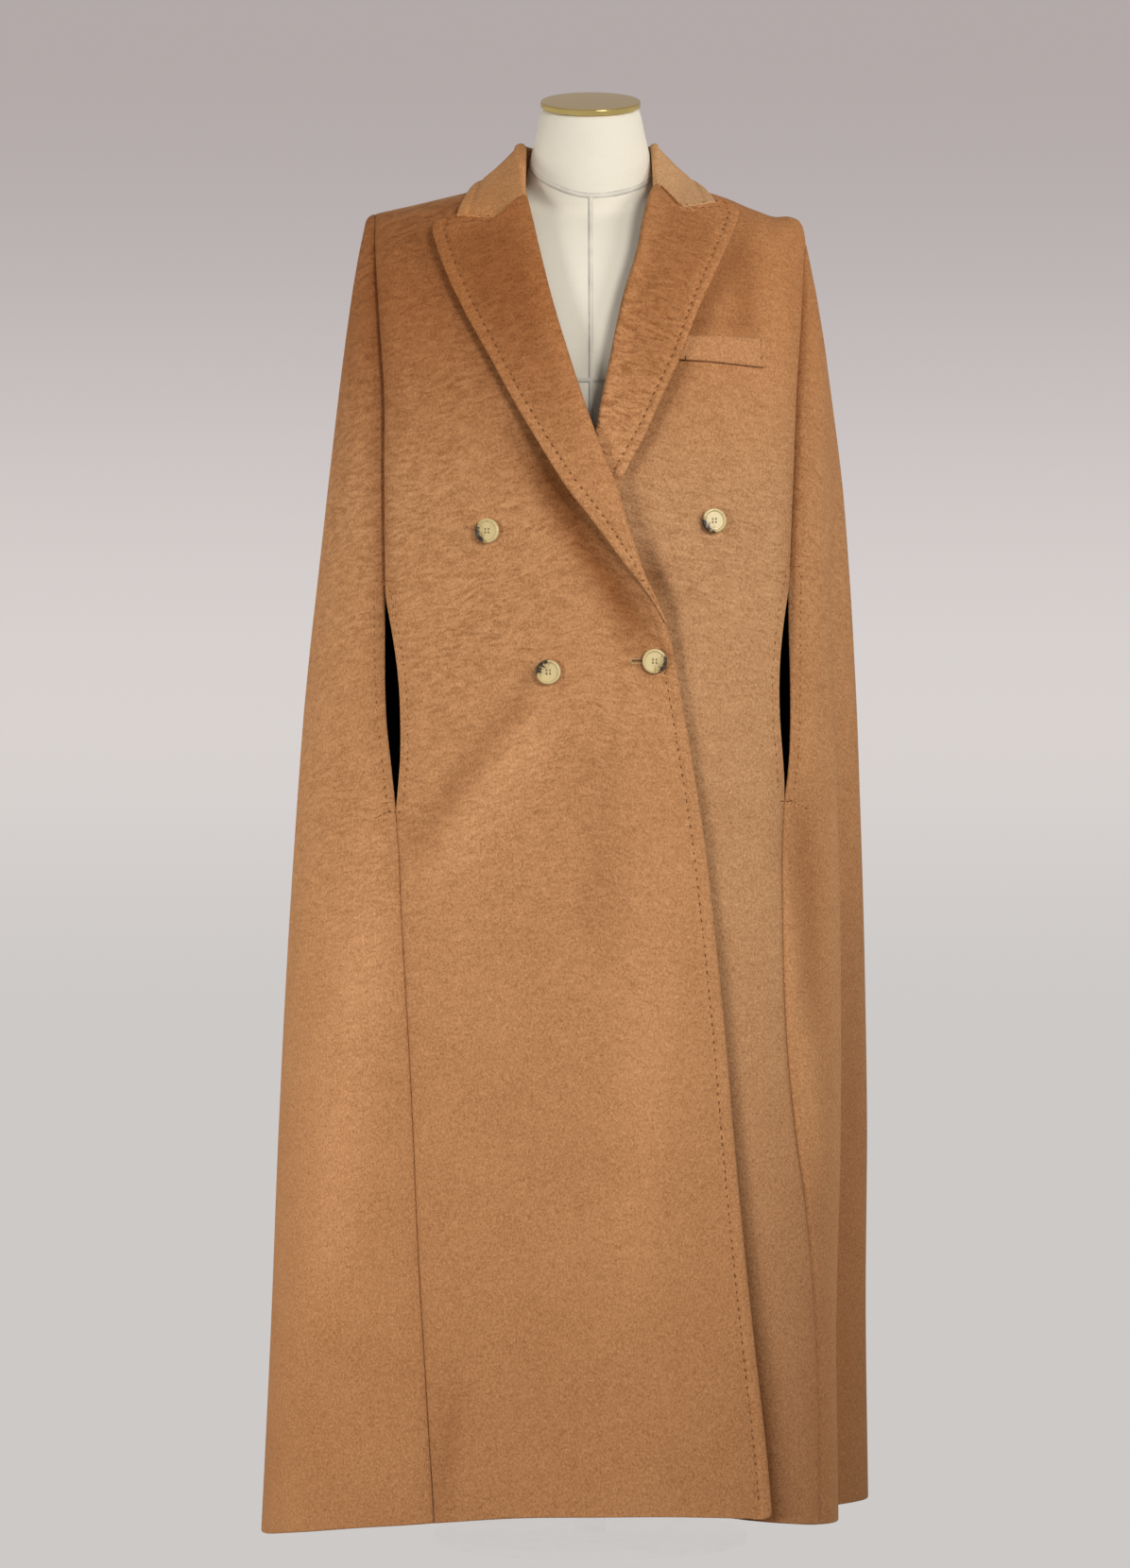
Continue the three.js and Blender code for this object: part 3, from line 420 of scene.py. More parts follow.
# Neck cap: a polished gold metal disc on top of the form's neck, leaning forward with it.
# It is turned with a small rounded edge and a slightly crowned top.
CAP = {"radius": 47.6, "thick": 5.6, "edge": 1.4, "foot_edge": 0.5, "gap": 0.3, "segments": 128}
CROWN = {"high": 0.5, "from": 0.96, "sunk": 0.04}
GOLD_DEEP = (0.55, 0.415, 0.125, 1)
GOLD_PALE = (0.72, 0.585, 0.235, 1)


def gold():
    """Polished plated metal with a faint wiped haze in its gloss."""
    finish = Finish("gold")
    haze = finish.noise(finish.place(), 30, 3, 0.4)
    return finish.surface({
        "Base Color": finish.blend(haze, GOLD_DEEP, GOLD_PALE),
        "Metallic": 1.0,
        "Roughness": finish.ramp(haze, 0.25, 0.75, 0.17, 0.25),
    })


bend = np.linspace(0, np.pi / 2, 7)
cap_top = CAP["radius"] - CAP["edge"]
edge = CAP["radius"] - CAP["edge"] * (1 - np.cos(bend)), CAP["thick"] - CAP["edge"] * (1 - np.sin(bend))
crown = np.linspace(CROWN["from"], 0, 12)
crown_z = CAP["thick"] + CROWN["high"] * (1 - crown ** 2) - CROWN["sunk"]
cap_foot_edge = [(0, 0), (CAP["radius"] - CAP["foot_edge"], 0), (CAP["radius"], CAP["foot_edge"])]
cap_profile = [*cap_foot_edge, *np.stack(edge, -1), *np.stack([cap_top * crown, crown_z], -1)]
cap_points, cap_faces = turned(cap_profile, CAP["segments"])
lean = np.radians(NECK["tilt"][0])
lean_turn = np.array([[1, 0, 0], [0, np.cos(lean), -np.sin(lean)], [0, np.sin(lean), np.cos(lean)]])
cap_foot = np.array([0, NECK["y"][0], NECK["z"][0]]) + lean_turn @ [0, 0, CAP["gap"]]
put("neck_cap_disc", cap_points @ lean_turn.T + cap_foot, cap_faces, gold(), "gold", "neck_cap", sharp=40)

# Back of the cape: one piece of heavy camel wool, cut in a wide flare and hung from the shoulders.
# It is sewn to the side panels, hollowed out round the neck, and falls in soft folds to the hem.
CAPE = {
    "level": range(15),
    "z": [1263, 1262, 1256, 1242, 1217, 1176, 1108, 1018, 928, 838, 747, 566, 386, 205, 18],
    "left": [203, 209, 214, 217, 222, 228.5, 237.5, 248, 258, 268, 276, 288, 297, 304, 313],
    "right": [193, 199, 203, 205.5, 210, 217, 227, 232, 234, 238, 242, 247, 247.5, 244, 246],
    "front": [0.3, 24, 46, 67, 88, 110, 131, 145, 149, 151, 154, 161, 168, 175, 181],
    "back": [0.3, 26, 48, 69, 89, 107, 119, 126, 132, 139, 147, 164, 180, 196, 210],
    "round": [2.4] * 11 + [2.42, 2.45, 2.48, 2.5],
    "slope": [1, 1, 1, 0.92, 0.75, 0.5, 0.2, 0.05] + [0] * 7,
    "hem": [0] * 10 + [0.02, 0.1, 0.3, 0.65, 1],
    "ridge": [0] * 5 + [3, 12, 24, 32, 35, 36, 38, 41.5, 45, 46],
    "valley": [0] * 6 + [2, 6, 11, 16, 20, 25, 30, 37, 39],
}
HEM = 14
HEM_LINE = {
    "angle": [-180, -120, -85, -60, -32, 0, 28, 55, 90, 130, 180],
    "rise": [3, -2, -7, 2, 15, 27, 24, 11, 9, 8, 3],
}
FLUTE = {"ridge": 114, "ridge_spread": 17, "valley": 92, "valley_spread": 13}
FOLDS = {
    "angle": [-9, -27, -118, -140, -160, 179, 158, 139],
    "spread": [8, 9, 15, 10, 10, 10, 10, 8],
    "depth": [-7, 4, 12, -14, 12, -13, 10, -12],
    "from": [640, 520, 900, 860, 900, 880, 880, 900],
}
FRONT_SEAM = {
    "z": [20, 180, 271, 332, 386, 475, 585, 694, 738, 786, 903, 1019, 1088, 1156, 1231, 1264],
    "right": [143, 153, 159, 162.5, 165, 170, 176.5, 183, 188, 193.5, 198, 200, 200.5, 205, 207.5, 205],
    "left": [215.5, 213, 207, 200.5, 192.5, 183.5, 179.5, 182, 187, 189.4, 191.4, 196, 199, 203.5, 205.5,
             206],
}
BACK_SEAM = {
    "z": [20, 400, 800, 1019, 1156, 1231, 1264],
    "right": [165, 160, 168, 180, 192, 203.5, 204],
    "left": [150, 150, 160, 174, 188, 203, 206],
}
CREASES = {
    "x0": [-58, -44, -128, 145, 164, 8, 200, -205, 60, -60, -136, 186, 137, 88],
    "z0": [810, 778, 152, 1226, 1228, 742, 700, 640, 590, 1036, 1205, 600, 1245, 1151],
    "x1": [-172, -136, -137, 146, 168, 12, 206, -250, 40, 52, -20, 214, 34, 158],
    "z1": [652, 630, 44, 1146, 1100, 560, 500, 240, 250, 850, 1000, 360, 1010, 1148],
    "wide": [13, 24, 13, 16, 14, 24, 14, 26, 30, 20, 14, 13, 17, 9],
    "deep": [-3.6, 3.0, -2.8, -4.4, 1.8, -2.2, -4.6, 3.2, 2.2, -10, -3, 3.0, -4.2, -2.2],
}
SEAM_VALLEY = {
    "z": [20, 600, 690, 760, 900, 1000, 1150, 1235, 1264],
    "right": [0.6, 0.8, 1.6, 2.2, 4.6, 5.0, 4.4, 1.4, 0],
    "left": [0.6, 0.8, 2.0, 2.4, 3.8, 3.6, 2.8, 0.4, 0],
    "right_groove": [1.2, 1.4, 1.0, 0.8, 5.0, 6.0, 5.4, 2.4, 0],
    "left_groove": [1.4, 1.6, 1.4, 0.8, 5.0, 6.0, 6.4, 4.0, 0],
}
SEAM_VALLEY_WIDE = 14
SEAM_GROOVE_WIDE = 3.0
CREASE_FADE = 0.25
FRONT_FADE = {"from": -0.1, "over": 0.3}
# Trough depth in millimetres that gives one unit of painted shade.
HOLLOW = 6
CLOTH = 2.6
RIDGE_GAP = 0.5
NECK_HOLE = 72
BACK_GRID = 60, 170
SIDES = {"right": -1, "left": 1}
RIM = np.array([0, 0.1, 0.35, 0.8, 1.3, 2.2, 3.6, 5.2, 7, 8.4, 9.6, 10.8, 12.4])
LEVELS = np.linspace(0, HEM, 900)
STEP = 1e-3
SETTLE_TURNS = 24
ARC_STEPS = 61
CAMEL_DEEP = (0.335, 0.148, 0.057, 1)
CAMEL_PALE = (0.60, 0.315, 0.15, 1)
SHEEN_TINT = (0.9, 0.58, 0.33, 1)
LOW_TONE = 0.965, 0.925, 0.895
# Painted shade: how much of red, green and blue one unit of trough depth takes away.
TROUGH_SHADE = 0.29, 0.36, 0.42
RIPPLE = {"along": 80, "across": 260, "slant": 60, "bend": 7}
NAP_DEEP = 0.0013
# Near-black colour of the inner faces of the cape's panels.
INNER_BLACK = (0.012, 0.008, 0.006, 1)


def soft(value):
    """Even step from 0 to 1 with level ends."""
    value = np.clip(value, 0, 1)
    return value * value * (3 - 2 * value)


def hump(off, wide):
    """Bell curve of a distance."""
    return np.exp(-(off / wide) ** 2)


def bell(angle, centre, spread):
    """Bell curve across the ring in degrees."""
    turn = np.degrees(angle) - centre
    return hump((turn + 180) % 360 - 180, spread)


def cape_ring(angle, level):
    """Point of the hanging cloth: a ring with the uneven hem, and the flute and folds added outward."""
    fall = along(CAPE, "z", level)
    shift = along(CAPE, "ridge", level) * bell(angle, FLUTE["ridge"], FLUTE["ridge_spread"])
    valley = along(CAPE, "valley", level) * bell(angle, FLUTE["valley"], FLUTE["valley_spread"])
    shift = shift - valley
    for centre, spread, depth, start in zip(*FOLDS.values()):
        shift = shift + depth * soft((start - fall) / start) * bell(angle, centre, spread)
    turn = (np.degrees(angle) + 180) % 360 - 180
    rise = along(CAPE, "hem", level) * along(HEM_LINE, "rise", turn)
    return ring(CAPE, angle, level) + xyz(shift * np.sin(angle), -shift * np.cos(angle), rise)


def front_angle(x, level):
    """Angle at which the front half of a ring passes x."""
    half = sided(CAPE, ("left", "right"), x < 0, level)
    ratio = np.minimum(1, np.abs(x) / half)
    return np.sign(x) * np.arcsin(ratio ** (along(CAPE, "round", level) / 2))


def plain_height(x, level):
    """Height of the front half of a ring where it passes x."""
    return cape_ring(front_angle(x, level), level)[..., 2]


def line_angle(table, column, sign, level, extra=lambda z: 0):
    """Angle of a seam or edge that is given as a distance out by height, settled by turns."""
    x = sign * along(table, column, along(CAPE, "z", level))
    for _ in range(SETTLE_TURNS):
        z = plain_height(x, level)
        x = sign * along(table, column, z) + extra(z)
    return front_angle(x, level)


FRONT_SEAM_ANGLE = {side: line_angle(FRONT_SEAM, side, sign, LEVELS) for side, sign in SIDES.items()}
BACK_SEAM_ANGLE = {
    side: sign * np.pi - line_angle(BACK_SEAM, side, sign, LEVELS) for side, sign in SIDES.items()
}


def point_at(place, known, points):
    """Point between those that are known at certain places along a line."""
    return np.stack([np.interp(place, known, points[:, axis]) for axis in range(3)], -1)


def crease(point, angle, level):
    """Small relief along the outward direction: soft troughs and ridges on lines of the front, and the
    valleys in which the panels roll into the side-front seams."""
    x, z = point[..., 0], point[..., 2]
    ahead = soft((np.cos(angle) - FRONT_FADE["from"]) / FRONT_FADE["over"])
    total = 0 * x
    for x0, z0, x1, z1, wide, deep in zip(*CREASES.values()):
        long = np.hypot(x1 - x0, z1 - z0)
        share = ((x - x0) * (x1 - x0) + (z - z0) * (z1 - z0)) / long ** 2
        off = ((x - x0) * (z1 - z0) - (z - z0) * (x1 - x0)) / long
        begun = soft((share + CREASE_FADE) / (2 * CREASE_FADE))
        fade = begun * soft((1 + CREASE_FADE - share) / (2 * CREASE_FADE))
        total = total + deep * fade * ahead * hump(off, wide)
    for side in SIDES:
        seam = cape_ring(FRONT_SEAM_ANGLE[side], LEVELS)
        off = np.linalg.norm(point - point_at(level, LEVELS, seam), axis=-1)
        for column, wide in ((side, SEAM_VALLEY_WIDE), (side + "_groove", SEAM_GROOVE_WIDE)):
            total = total - along(SEAM_VALLEY, column, z) * hump(off, wide)
    return total


def no_lift(x, z):
    """No lift: only the right front lies over another panel."""
    return 0 * x


def cape_point(angle, level, lift):
    """Point of the cape; front and back stand a little apart on the shoulder ridge, and lift moves it
    off."""
    point = cape_ring(angle, level)
    apart = -np.sign(np.cos(angle)) * RIDGE_GAP * np.clip(1 - level, 0, 1)
    run = cape_ring(angle + STEP, level) - cape_ring(angle - STEP, level)
    flat = unit(xyz(run[..., 1], -run[..., 0], 0))
    return point + xyz(0, apart, 0) + flat * lift(point[..., 0], point[..., 2])[..., None]


def cape_place(angle, level, lift=no_lift, creased=1.0):
    """Point and outward direction of the cape, with the given share of its creases."""
    angle, level = np.broadcast_arrays(angle, level)
    point = cape_point(angle, level, lift)
    run = cape_point(angle + STEP, level, lift) - cape_point(angle - STEP, level, lift)
    low, high = np.minimum(HEM, level + STEP), np.maximum(0, level - STEP)
    fall = cape_point(angle, low, lift) - cape_point(angle, high, lift)
    normal = unit(np.cross(fall, run))
    if np.any(creased):
        point = point + normal * (creased * crease(point, angle, level))[..., None]
    return point, normal


def lines(length, middle):
    """Distances along a length: close together at both ends, where a rim is rounded, and even between."""
    length = np.asarray(length, float)[..., None]
    near = RIM * np.minimum(1, length / (3 * RIM[-1]))
    even = near[..., -1:] + (length - 2 * near[..., -1:]) * np.linspace(0, 1, middle + 2)[1:-1]
    return np.concatenate([near, even, length - near[..., ::-1]], -1)


def panel(first, last, columns, rows, hole=0, top=0):
    """Angles and levels of a panel's grid between two edges given by angle on every level, and how far
    each point lies from the side edges and from the top and the hem. Rows start at the level top, and
    outside the neck hole."""
    share = np.linspace(0, 1, ARC_STEPS)
    angles = first[:, None] + (last - first)[:, None] * share
    steps = np.linalg.norm(np.diff(cape_ring(angles, LEVELS[:, None]), axis=1), axis=-1)
    arc = np.concatenate([0 * steps[:, :1], np.cumsum(steps, 1)], 1)
    across = lines(arc[:, -1], columns)
    angle = np.stack([np.interp(*row) for row in zip(across, arc, angles)])
    point = cape_ring(angle, LEVELS[:, None])
    fall = np.linalg.norm(np.diff(point, axis=0), axis=-1)
    down = np.concatenate([0 * fall[:1], np.cumsum(fall, 0)])
    inside = (np.hypot(point[..., 0], point[..., 1]) < hole) | (LEVELS[:, None] < top)
    start = np.where(inside.any(0), np.max(np.where(inside, down, 0), 0), 0)
    below = lines(down[-1] - start, rows)
    side_gap = np.minimum(across, arc[:, -1:] - across)
    level = np.stack([np.interp(s + b, d, LEVELS) for s, b, d in zip(start, below, down.T)], 1)
    turn = np.stack([np.interp(l, LEVELS, a) for l, a in zip(level.T, angle.T)], 1)
    gap = np.stack([np.interp(l, LEVELS, g) for l, g in zip(level.T, side_gap.T)], 1)
    return turn, level, gap, np.minimum(below, below[:, -1:] - below).T


def mark(piece, **values):
    """Attributes with one value a point, which the materials read."""
    for name, value in values.items():
        attribute = piece.data.attributes.new(name, "FLOAT", "POINT")
        attribute.data.foreach_set("value", value.astype(np.float32))


def shell(name, point, normal, side_gap, end_gap, thick, material, *replaced, black_inside=True, hollow_shade=0):
    """Closed cloth: the outer face is the given surface, the inner lies a thickness below it, and near
    a rim both bend to the middle in a quarter circle. The attribute inside marks an inner face that the
    wool colours near-black. The other attribute is painted shade by how deep a place lies in a trough,
    and below zero painted light by how high it stands on a ridge."""
    radius = thick / 2 + 0 * side_gap
    bends = [np.sqrt(1 - (1 - np.clip(gap / radius, 0, 1)) ** 2) for gap in (side_gap, end_gap)]
    half = (radius * bends[0] * bends[1])[..., None]
    middle = point - normal * radius[..., None]
    rows, columns = point.shape[:2]
    index = np.arange(rows * columns).reshape(rows, columns)
    within = np.zeros((rows, columns), bool)
    within[1:-1, 1:-1] = True
    hidden = index.copy()
    hidden[within] = rows * columns + np.arange(within.sum())
    vertices = np.concatenate([(middle + normal * half).reshape(-1, 3), (middle - normal * half)[within]])
    r, c = rows // 2, columns * 3 // 4
    facing = np.cross(point[r + 1, c] - point[r, c], point[r, c + 1] - point[r, c]) @ normal[r, c]
    outer, inner = quads(index), quads(hidden)
    faces = [outer, inner[:, ::-1]] if facing > 0 else [outer[:, ::-1], inner]
    piece = put(name, vertices, faces, material, "wool", *replaced)
    sunk = hollow_shade + 0 * side_gap
    inside = black_inside * (np.arange(len(vertices)) >= rows * columns)
    mark(piece, inside=inside, hollow_shade=np.concatenate([sunk.ravel(), sunk[within]]))
    return piece


def wool(name, tone=(1, 1, 1), upper_right=(1, 1, 1), upper_left=(1, 1, 1), ripple=1.0, low=LOW_TONE):
    """Napped wool: short fibres and tufts in light and dark, and ripples laid across the nap that bend
    and are strongest high on the right front. The tone goes from `tone` times `low` by the hem to `tone`
    below the chest and to the two upper tones on the wearer's right and left shoulder, which are painted
    shade high up, and painted light where above one. By a point attribute, troughs get painted shade
    and ridges painted light."""
    finish = Finish(name)
    where = finish.place()
    across, deep, height = (finish.node("SeparateXYZ", {}, {0: where}, axis) for axis in "XYZ")
    fibre = finish.noise(finish.place((1, 1, 0.7)), 640, 2, 0.4)
    tuft = finish.noise(where, 380, 2, 0.6)
    cloud = finish.noise(where, 14, 3)
    patch = finish.noise(where, 6, 1)
    slope = finish.node("Math", {"operation": "ABSOLUTE"}, {0: across})
    rise = RIPPLE["across"] * height + RIPPLE["slant"] * slope + RIPPLE["bend"] * cloud
    bent = finish.node("CombineXYZ", {}, {0: RIPPLE["along"] * across, 1: RIPPLE["along"] * deep, 2: rise})
    wave = finish.noise(bent, 1.0, 1, 0.5)
    high = finish.ramp(height, 0.35, 0.95, 0.25, 1.0)
    aside = finish.ramp(across, -0.02, 0.12, 1.0, 0.6)
    rippled = high * aside * finish.ramp(patch, 0.3, 0.7, 0.6, 1.0) * ripple
    share = 0.5 + 1.7 * (fibre - 0.5) + 0.8 * (tuft - 0.5) + 0.3 * (cloud - 0.5)
    share = share + 1.5 * rippled * (wave - 0.5)
    colour = finish.blend(share, CAMEL_DEEP, CAMEL_PALE)
    upper = finish.blend(finish.ramp(across, -0.16, 0.12), (*upper_right, 1), (*upper_left, 1))
    lower = finish.blend(finish.ramp(height, 0.12, 0.6), (*(np.array(tone) * low), 1), (*tone, 1))
    toned = finish.blend(finish.ramp(height, 0.95, 1.2), lower, upper)
    sunk = finish.mark("hollow_shade")
    # Painted shade in troughs and seams, and painted light on ridges and crests, from a point attribute.
    shade = finish.node("CombineXYZ", {}, {axis: 1 - loss * sunk for axis, loss in enumerate(TROUGH_SHADE)})
    multiply = {"data_type": "RGBA", "blend_type": "MULTIPLY"}
    for layer in (toned, shade):
        colour = finish.node("Mix", multiply, {0: 1.0, 6: colour, 7: layer}, 2)
    # Inner faces of the panels are coloured near-black.
    inside = finish.mark("inside")
    relief = 0.5 * fibre + 0.35 * tuft + 1.3 * rippled * wave
    return finish.surface({
        "Base Color": finish.blend(inside, colour, INNER_BLACK),
        "Roughness": finish.ramp(tuft, 0.25, 0.75, 0.82, 0.95),
        "Specular IOR Level": 0.18,
        "Sheen Weight": 0.26,
        "Sheen Roughness": 0.4,
        "Sheen Tint": SHEEN_TINT,
        "Normal": finish.bump(relief, NAP_DEEP),
    })


# Painted shade: the upper front and shoulders darker and redder, most on the wearer's right.
UPPER_SHADE = (0.715, 0.545, 0.41), (0.92, 0.81, 0.69)
body_wool = wool("camel_wool", (1, 0.975, 0.935), *UPPER_SHADE)
turn, level, side_gap, end_gap = panel(
    BACK_SEAM_ANGLE["left"], BACK_SEAM_ANGLE["right"] + 2 * np.pi, *BACK_GRID, NECK_HOLE)
point, normal = cape_place(turn, level)
# Painted shade in the troughs of the creases and painted light on their ridges.
back = shell("back_panel", point, normal, side_gap, end_gap, CLOTH, body_wool, "back",
             hollow_shade=-crease(point, turn, level) / HOLLOW)

# Side panels: two wide flared pieces that fall over the arms from the shoulder points.
# Each is sewn to the front and the back; the one on the wearer's left swings out in a deep flute.
SIDE_TOP = {"right": 0.5, "left": 2.75}
SIDE_GRID = 56, 170
# Painted shade on the back flank of the flute and painted light on its crest, from 900 mm down, full below
# 420 mm.
FLUTE_SHADE_AND_LIGHT = {"angle": [100, 71], "spread": [8, 7], "hollow_shade": [0.6, -0.6]}
FLUTE_START = 900
FLUTE_FULL = 420
# Painted shade of a dark seam line, only on the wearer's left.
PAINTED_SEAM_SHADE = {"right": 0, "left": 1.6}
SEAM_LINE = {"wide": 1.8, "from": 900, "fade": 40, "most": 2.3, "front_share": 0.4}
FAR = 99


def gap_from(first, side_gap):
    """Distance from a panel's first or last side edge, and far off in the half by the other edge."""
    columns = side_gap.shape[1]
    return np.where((np.arange(columns) < columns // 2) == first, side_gap, FAR)


def seam_shade(side, side_gap, z):
    """Painted shade of a dark line between two panels: it fades from the seam's edge of a panel, the first
    column, and starts by the top of the slit."""
    line = hump(gap_from(True, side_gap), SEAM_LINE["wide"])
    return PAINTED_SEAM_SHADE[side] * line * soft((z - SEAM_LINE["from"]) / SEAM_LINE["fade"])


for side in SIDES:
    turn, level, side_gap, end_gap = panel(
        FRONT_SEAM_ANGLE[side], BACK_SEAM_ANGLE[side], *SIDE_GRID, top=SIDE_TOP[side])
    point, normal = cape_place(turn, level)
    # Painted shade on the flute's back flank, painted light on its crest, and the painted seam line.
    fluted = soft((FLUTE_START - point[..., 2]) / (FLUTE_START - FLUTE_FULL))
    sunk = -crease(point, turn, level) / HOLLOW
    for centre, spread, depth in zip(*FLUTE_SHADE_AND_LIGHT.values()):
        sunk = sunk + depth * fluted * bell(turn, centre, spread)
    sunk = np.minimum(sunk + seam_shade(side, side_gap, point[..., 2]), SEAM_LINE["most"])
    piece = shell("side_panel_" + side, point, normal, side_gap, end_gap, CLOTH, body_wool, "side_" + side,
                  hollow_shade=sunk)

# Fronts: the right front lies over the left and is cut with a slanting edge and a rounded corner.
# Arm slits are left open in the side-front seams.
SLIT = {
    "right": {"bottom": 696, "top": 908, "wide": 15.5},
    "left": {"bottom": 706, "top": 922, "wide": 13.5},
}
FRONT_EDGE = {
    "z": [20, 100, 170, 276, 389, 477, 584, 673, 765, 815, 860, 888, 914, 952, 993, 1026, 1096, 1171, 1222,
          1247, 1276, 1293],
    "right": [164, 158, 151, 140.5, 130.5, 123.5, 113, 103, 88.5, 80, 71, 59.5, 45, 30.5, 19, 5.5, -18.5,
              -41, -53.5, -59, -66, -71],
    "left": [-40, -43, -46, -50, -53, -56, -60, -62, -60, -56, -46, -38.5, -30, -17, -6, 3.5, 18.5, 34,
             48.5, 53, 61, 71],
}
OVERLAP = {
    "z": [20, 300, 600, 800, 900, 980, 1040, 1100, 1180, 1250],
    "lift": [13, 9, 8, 9.5, 12, 14, 13, 9, 3, 0],
}
# The tone column is painted shadow on the left front in the trough beside the right front's edge.
EDGE_HOLLOW = {
    "z": [20, 100, 243, 400, 540, 650, 740, 820, 880, 914, 950, 1010],
    "deep": [12, 11, 8, 5.5, 3.4, 3, 2.3, 1.4, 4.2, 7.5, 2, 0],
    "tone": [1.9, 1.8, 1.5, 1.2, 0.9, 0.8, 0.5, 0.3, 0.6, 1, 0.4, 0],
    "wide": [14, 13, 11, 8.5, 7, 6, 6, 7, 11, 13, 12, 12],
    "out": [-3, -3, -3, -3, -3, -3, -2, 0, 8, 12, 12, 12],
}
UNDER_HEM = {"x": 155, "wide": 30, "deep": 3.3, "high": 60}
EDGE = {"swell": 0.8, "swell_in": 3, "swell_out": 4, "groove": 0.8, "groove_in": 11.5, "groove_wide": 1.8,
        "thick": 1.6, "break": 930, "break_fade": 60}
OVERLAP_START = -185
OVERLAP_FULL = 10
CORNER = 9
FRONT_GRID = 44, 180
FRONT_MOST_SUNK = 1.7


def edge_relief(gap, row=EDGE["groove_in"]):
    """Height of a turned and stitched edge: a soft swell by the edge and a groove under the row of
    stitches."""
    swell = EDGE["swell"] * soft(gap / EDGE["swell_in"]) * soft((row - gap) / EDGE["swell_out"])
    return swell - EDGE["groove"] * hump(gap - row, EDGE["groove_wide"])


def cut_off(radius, away):
    """How far a corner of that radius is cut in, at a distance away from its end."""
    near = np.clip(radius - away, 0, radius)
    return radius - np.sqrt(radius ** 2 - near ** 2)


def slit_width(side, z):
    """Width of an arm slit: half a sine wave between its ends."""
    slit = SLIT[side]
    return slit["wide"] * np.sin(np.pi * np.clip((slit["top"] - z) / (slit["top"] - slit["bottom"]), 0, 1))


def over_left(x, z):
    """How far the right front stands off: nothing by its side seam, all of it from the middle on."""
    return soft((x - OVERLAP_START) / (OVERLAP_FULL - OVERLAP_START)) * along(OVERLAP, "lift", z)


LIFT = {"right": over_left, "left": no_lift}
EDGE_ANGLE = {}
SLIT_ANGLE = {}
for side, sign in SIDES.items():
    SLIT_ANGLE[side] = line_angle(FRONT_SEAM, side, sign, LEVELS, lambda z: -sign * slit_width(side, z))
    EDGE_ANGLE[side] = line_angle(FRONT_EDGE, side, 1, LEVELS)
edge_x, _, edge_z = cape_ring(EDGE_ANGLE["right"], LEVELS).T
edge_x = edge_x - cut_off(CORNER, edge_z - edge_z[-1])
ROUNDED_EDGE = {"right": front_angle(edge_x, LEVELS), "left": EDGE_ANGLE["left"]}
left_wool = wool("camel_wool_left", (1, 1.05, 1.09), *UPPER_SHADE, low=(0.965, 0.88, 0.83))
front_wool = {"right": body_wool, "left": left_wool}
for side in SIDES:
    turn, level, side_gap, end_gap = panel(SLIT_ANGLE[side], ROUNDED_EDGE[side], *FRONT_GRID)
    point, normal = cape_place(turn, level, LIFT[side])
    sunk = -crease(point, turn, level)
    if side == "left":
        x, z = point[..., 0], point[..., 2]
        hollow_shade = row_at(EDGE_HOLLOW, z)
        beside = x - along(FRONT_EDGE, "right", z) - hollow_shade["out"]
        by_edge = hollow_shade["deep"] * hump(beside, hollow_shade["wide"])
        point = point - normal * by_edge[..., None]
        # Painted shadow beside the right front's edge, by the tone column.
        sunk = sunk + hollow_shade["tone"] * by_edge
        lower = hump(x - UNDER_HEM["x"], UNDER_HEM["wide"]) * soft(1 - (z - z.min()) / UNDER_HEM["high"])
        point = point - xyz(0, 0, UNDER_HEM["deep"] * lower)
    from_edge = gap_from(False, side_gap)
    below_break = soft((EDGE["break"] - point[..., 2]) / EDGE["break_fade"])
    point = point + normal * (edge_relief(from_edge) * below_break)[..., None]
    doubled = soft((2 * EDGE["groove_in"] - from_edge) / EDGE["groove_in"])
    thick = CLOTH + EDGE["thick"] * below_break * doubled
    # Painted shade in troughs and painted light on ridges, plus part of the painted seam line.
    by_seam = SEAM_LINE["front_share"] * seam_shade(side, side_gap, point[..., 2])
    sunk = np.minimum(sunk / HOLLOW, FRONT_MOST_SUNK) + by_seam
    shell("front_panel_" + side, point, normal, side_gap, end_gap, thick, front_wool[side],
                         "front_" + side, hollow_shade=sunk)

# Lapels: wide peaked lapels in the same wool, cut in one with the facing.
# They leave the front's edge, turn over the soft roll and lie back on the fronts.
LAPEL_EDGE = {
    "z": [862, 880, 903.5, 925, 965, 993, 1019, 1046, 1073, 1110, 1161, 1205, 1247, 1262],
    "right": [70.5, 61, 45.5, 28.5, 0, -21.3, -37.6, -53.5, -69.3, -89, -117, -137, -150, -152],
    "left": [0, 0, 0, 4, 14, 23, 37, 51, 62.5, 79.5, 98.5, 118.3, 136, 139.5],
}
LAPEL_TOP = {
    "right": {"share": [0, 0.28, 0.44, 0.74, 1], "x": [-64, -88, -103, -127.5, -150],
              "z": [1269.5, 1246, 1248, 1249.5, 1242]},
    "left": {"share": [0, 0.3, 0.46, 0.76, 1], "x": [60, 82.5, 96, 119, 139],
             "z": [1281, 1257.5, 1259.5, 1263, 1258.5]},
}
LAPEL_LEVELS = {"right": (3, 8.65), "left": (2.5, 7.5)}
LAPEL_SETTLE = {"right": (0.66, 0.86), "left": (0.95, 1)}
LAPEL_TAPER = {"right": 0.86, "left": 0.95}
LAPEL_ROW = {"right": 12, "left": 10}
LAPEL = {"gap": 4.6, "edge_gap": 7.0, "bend": 0.38, "seam": 0.4, "thick": 3.4, "thin": 0.7, "shrink": 0.9,
         "press": 0.8, "long": 430, "turn_long": 12, "narrow": 14, "narrow_fade": 12, "crowded": 2.5}
LAPEL_GRID = {"turn_columns": 14, "columns": 44, "rows": 90}
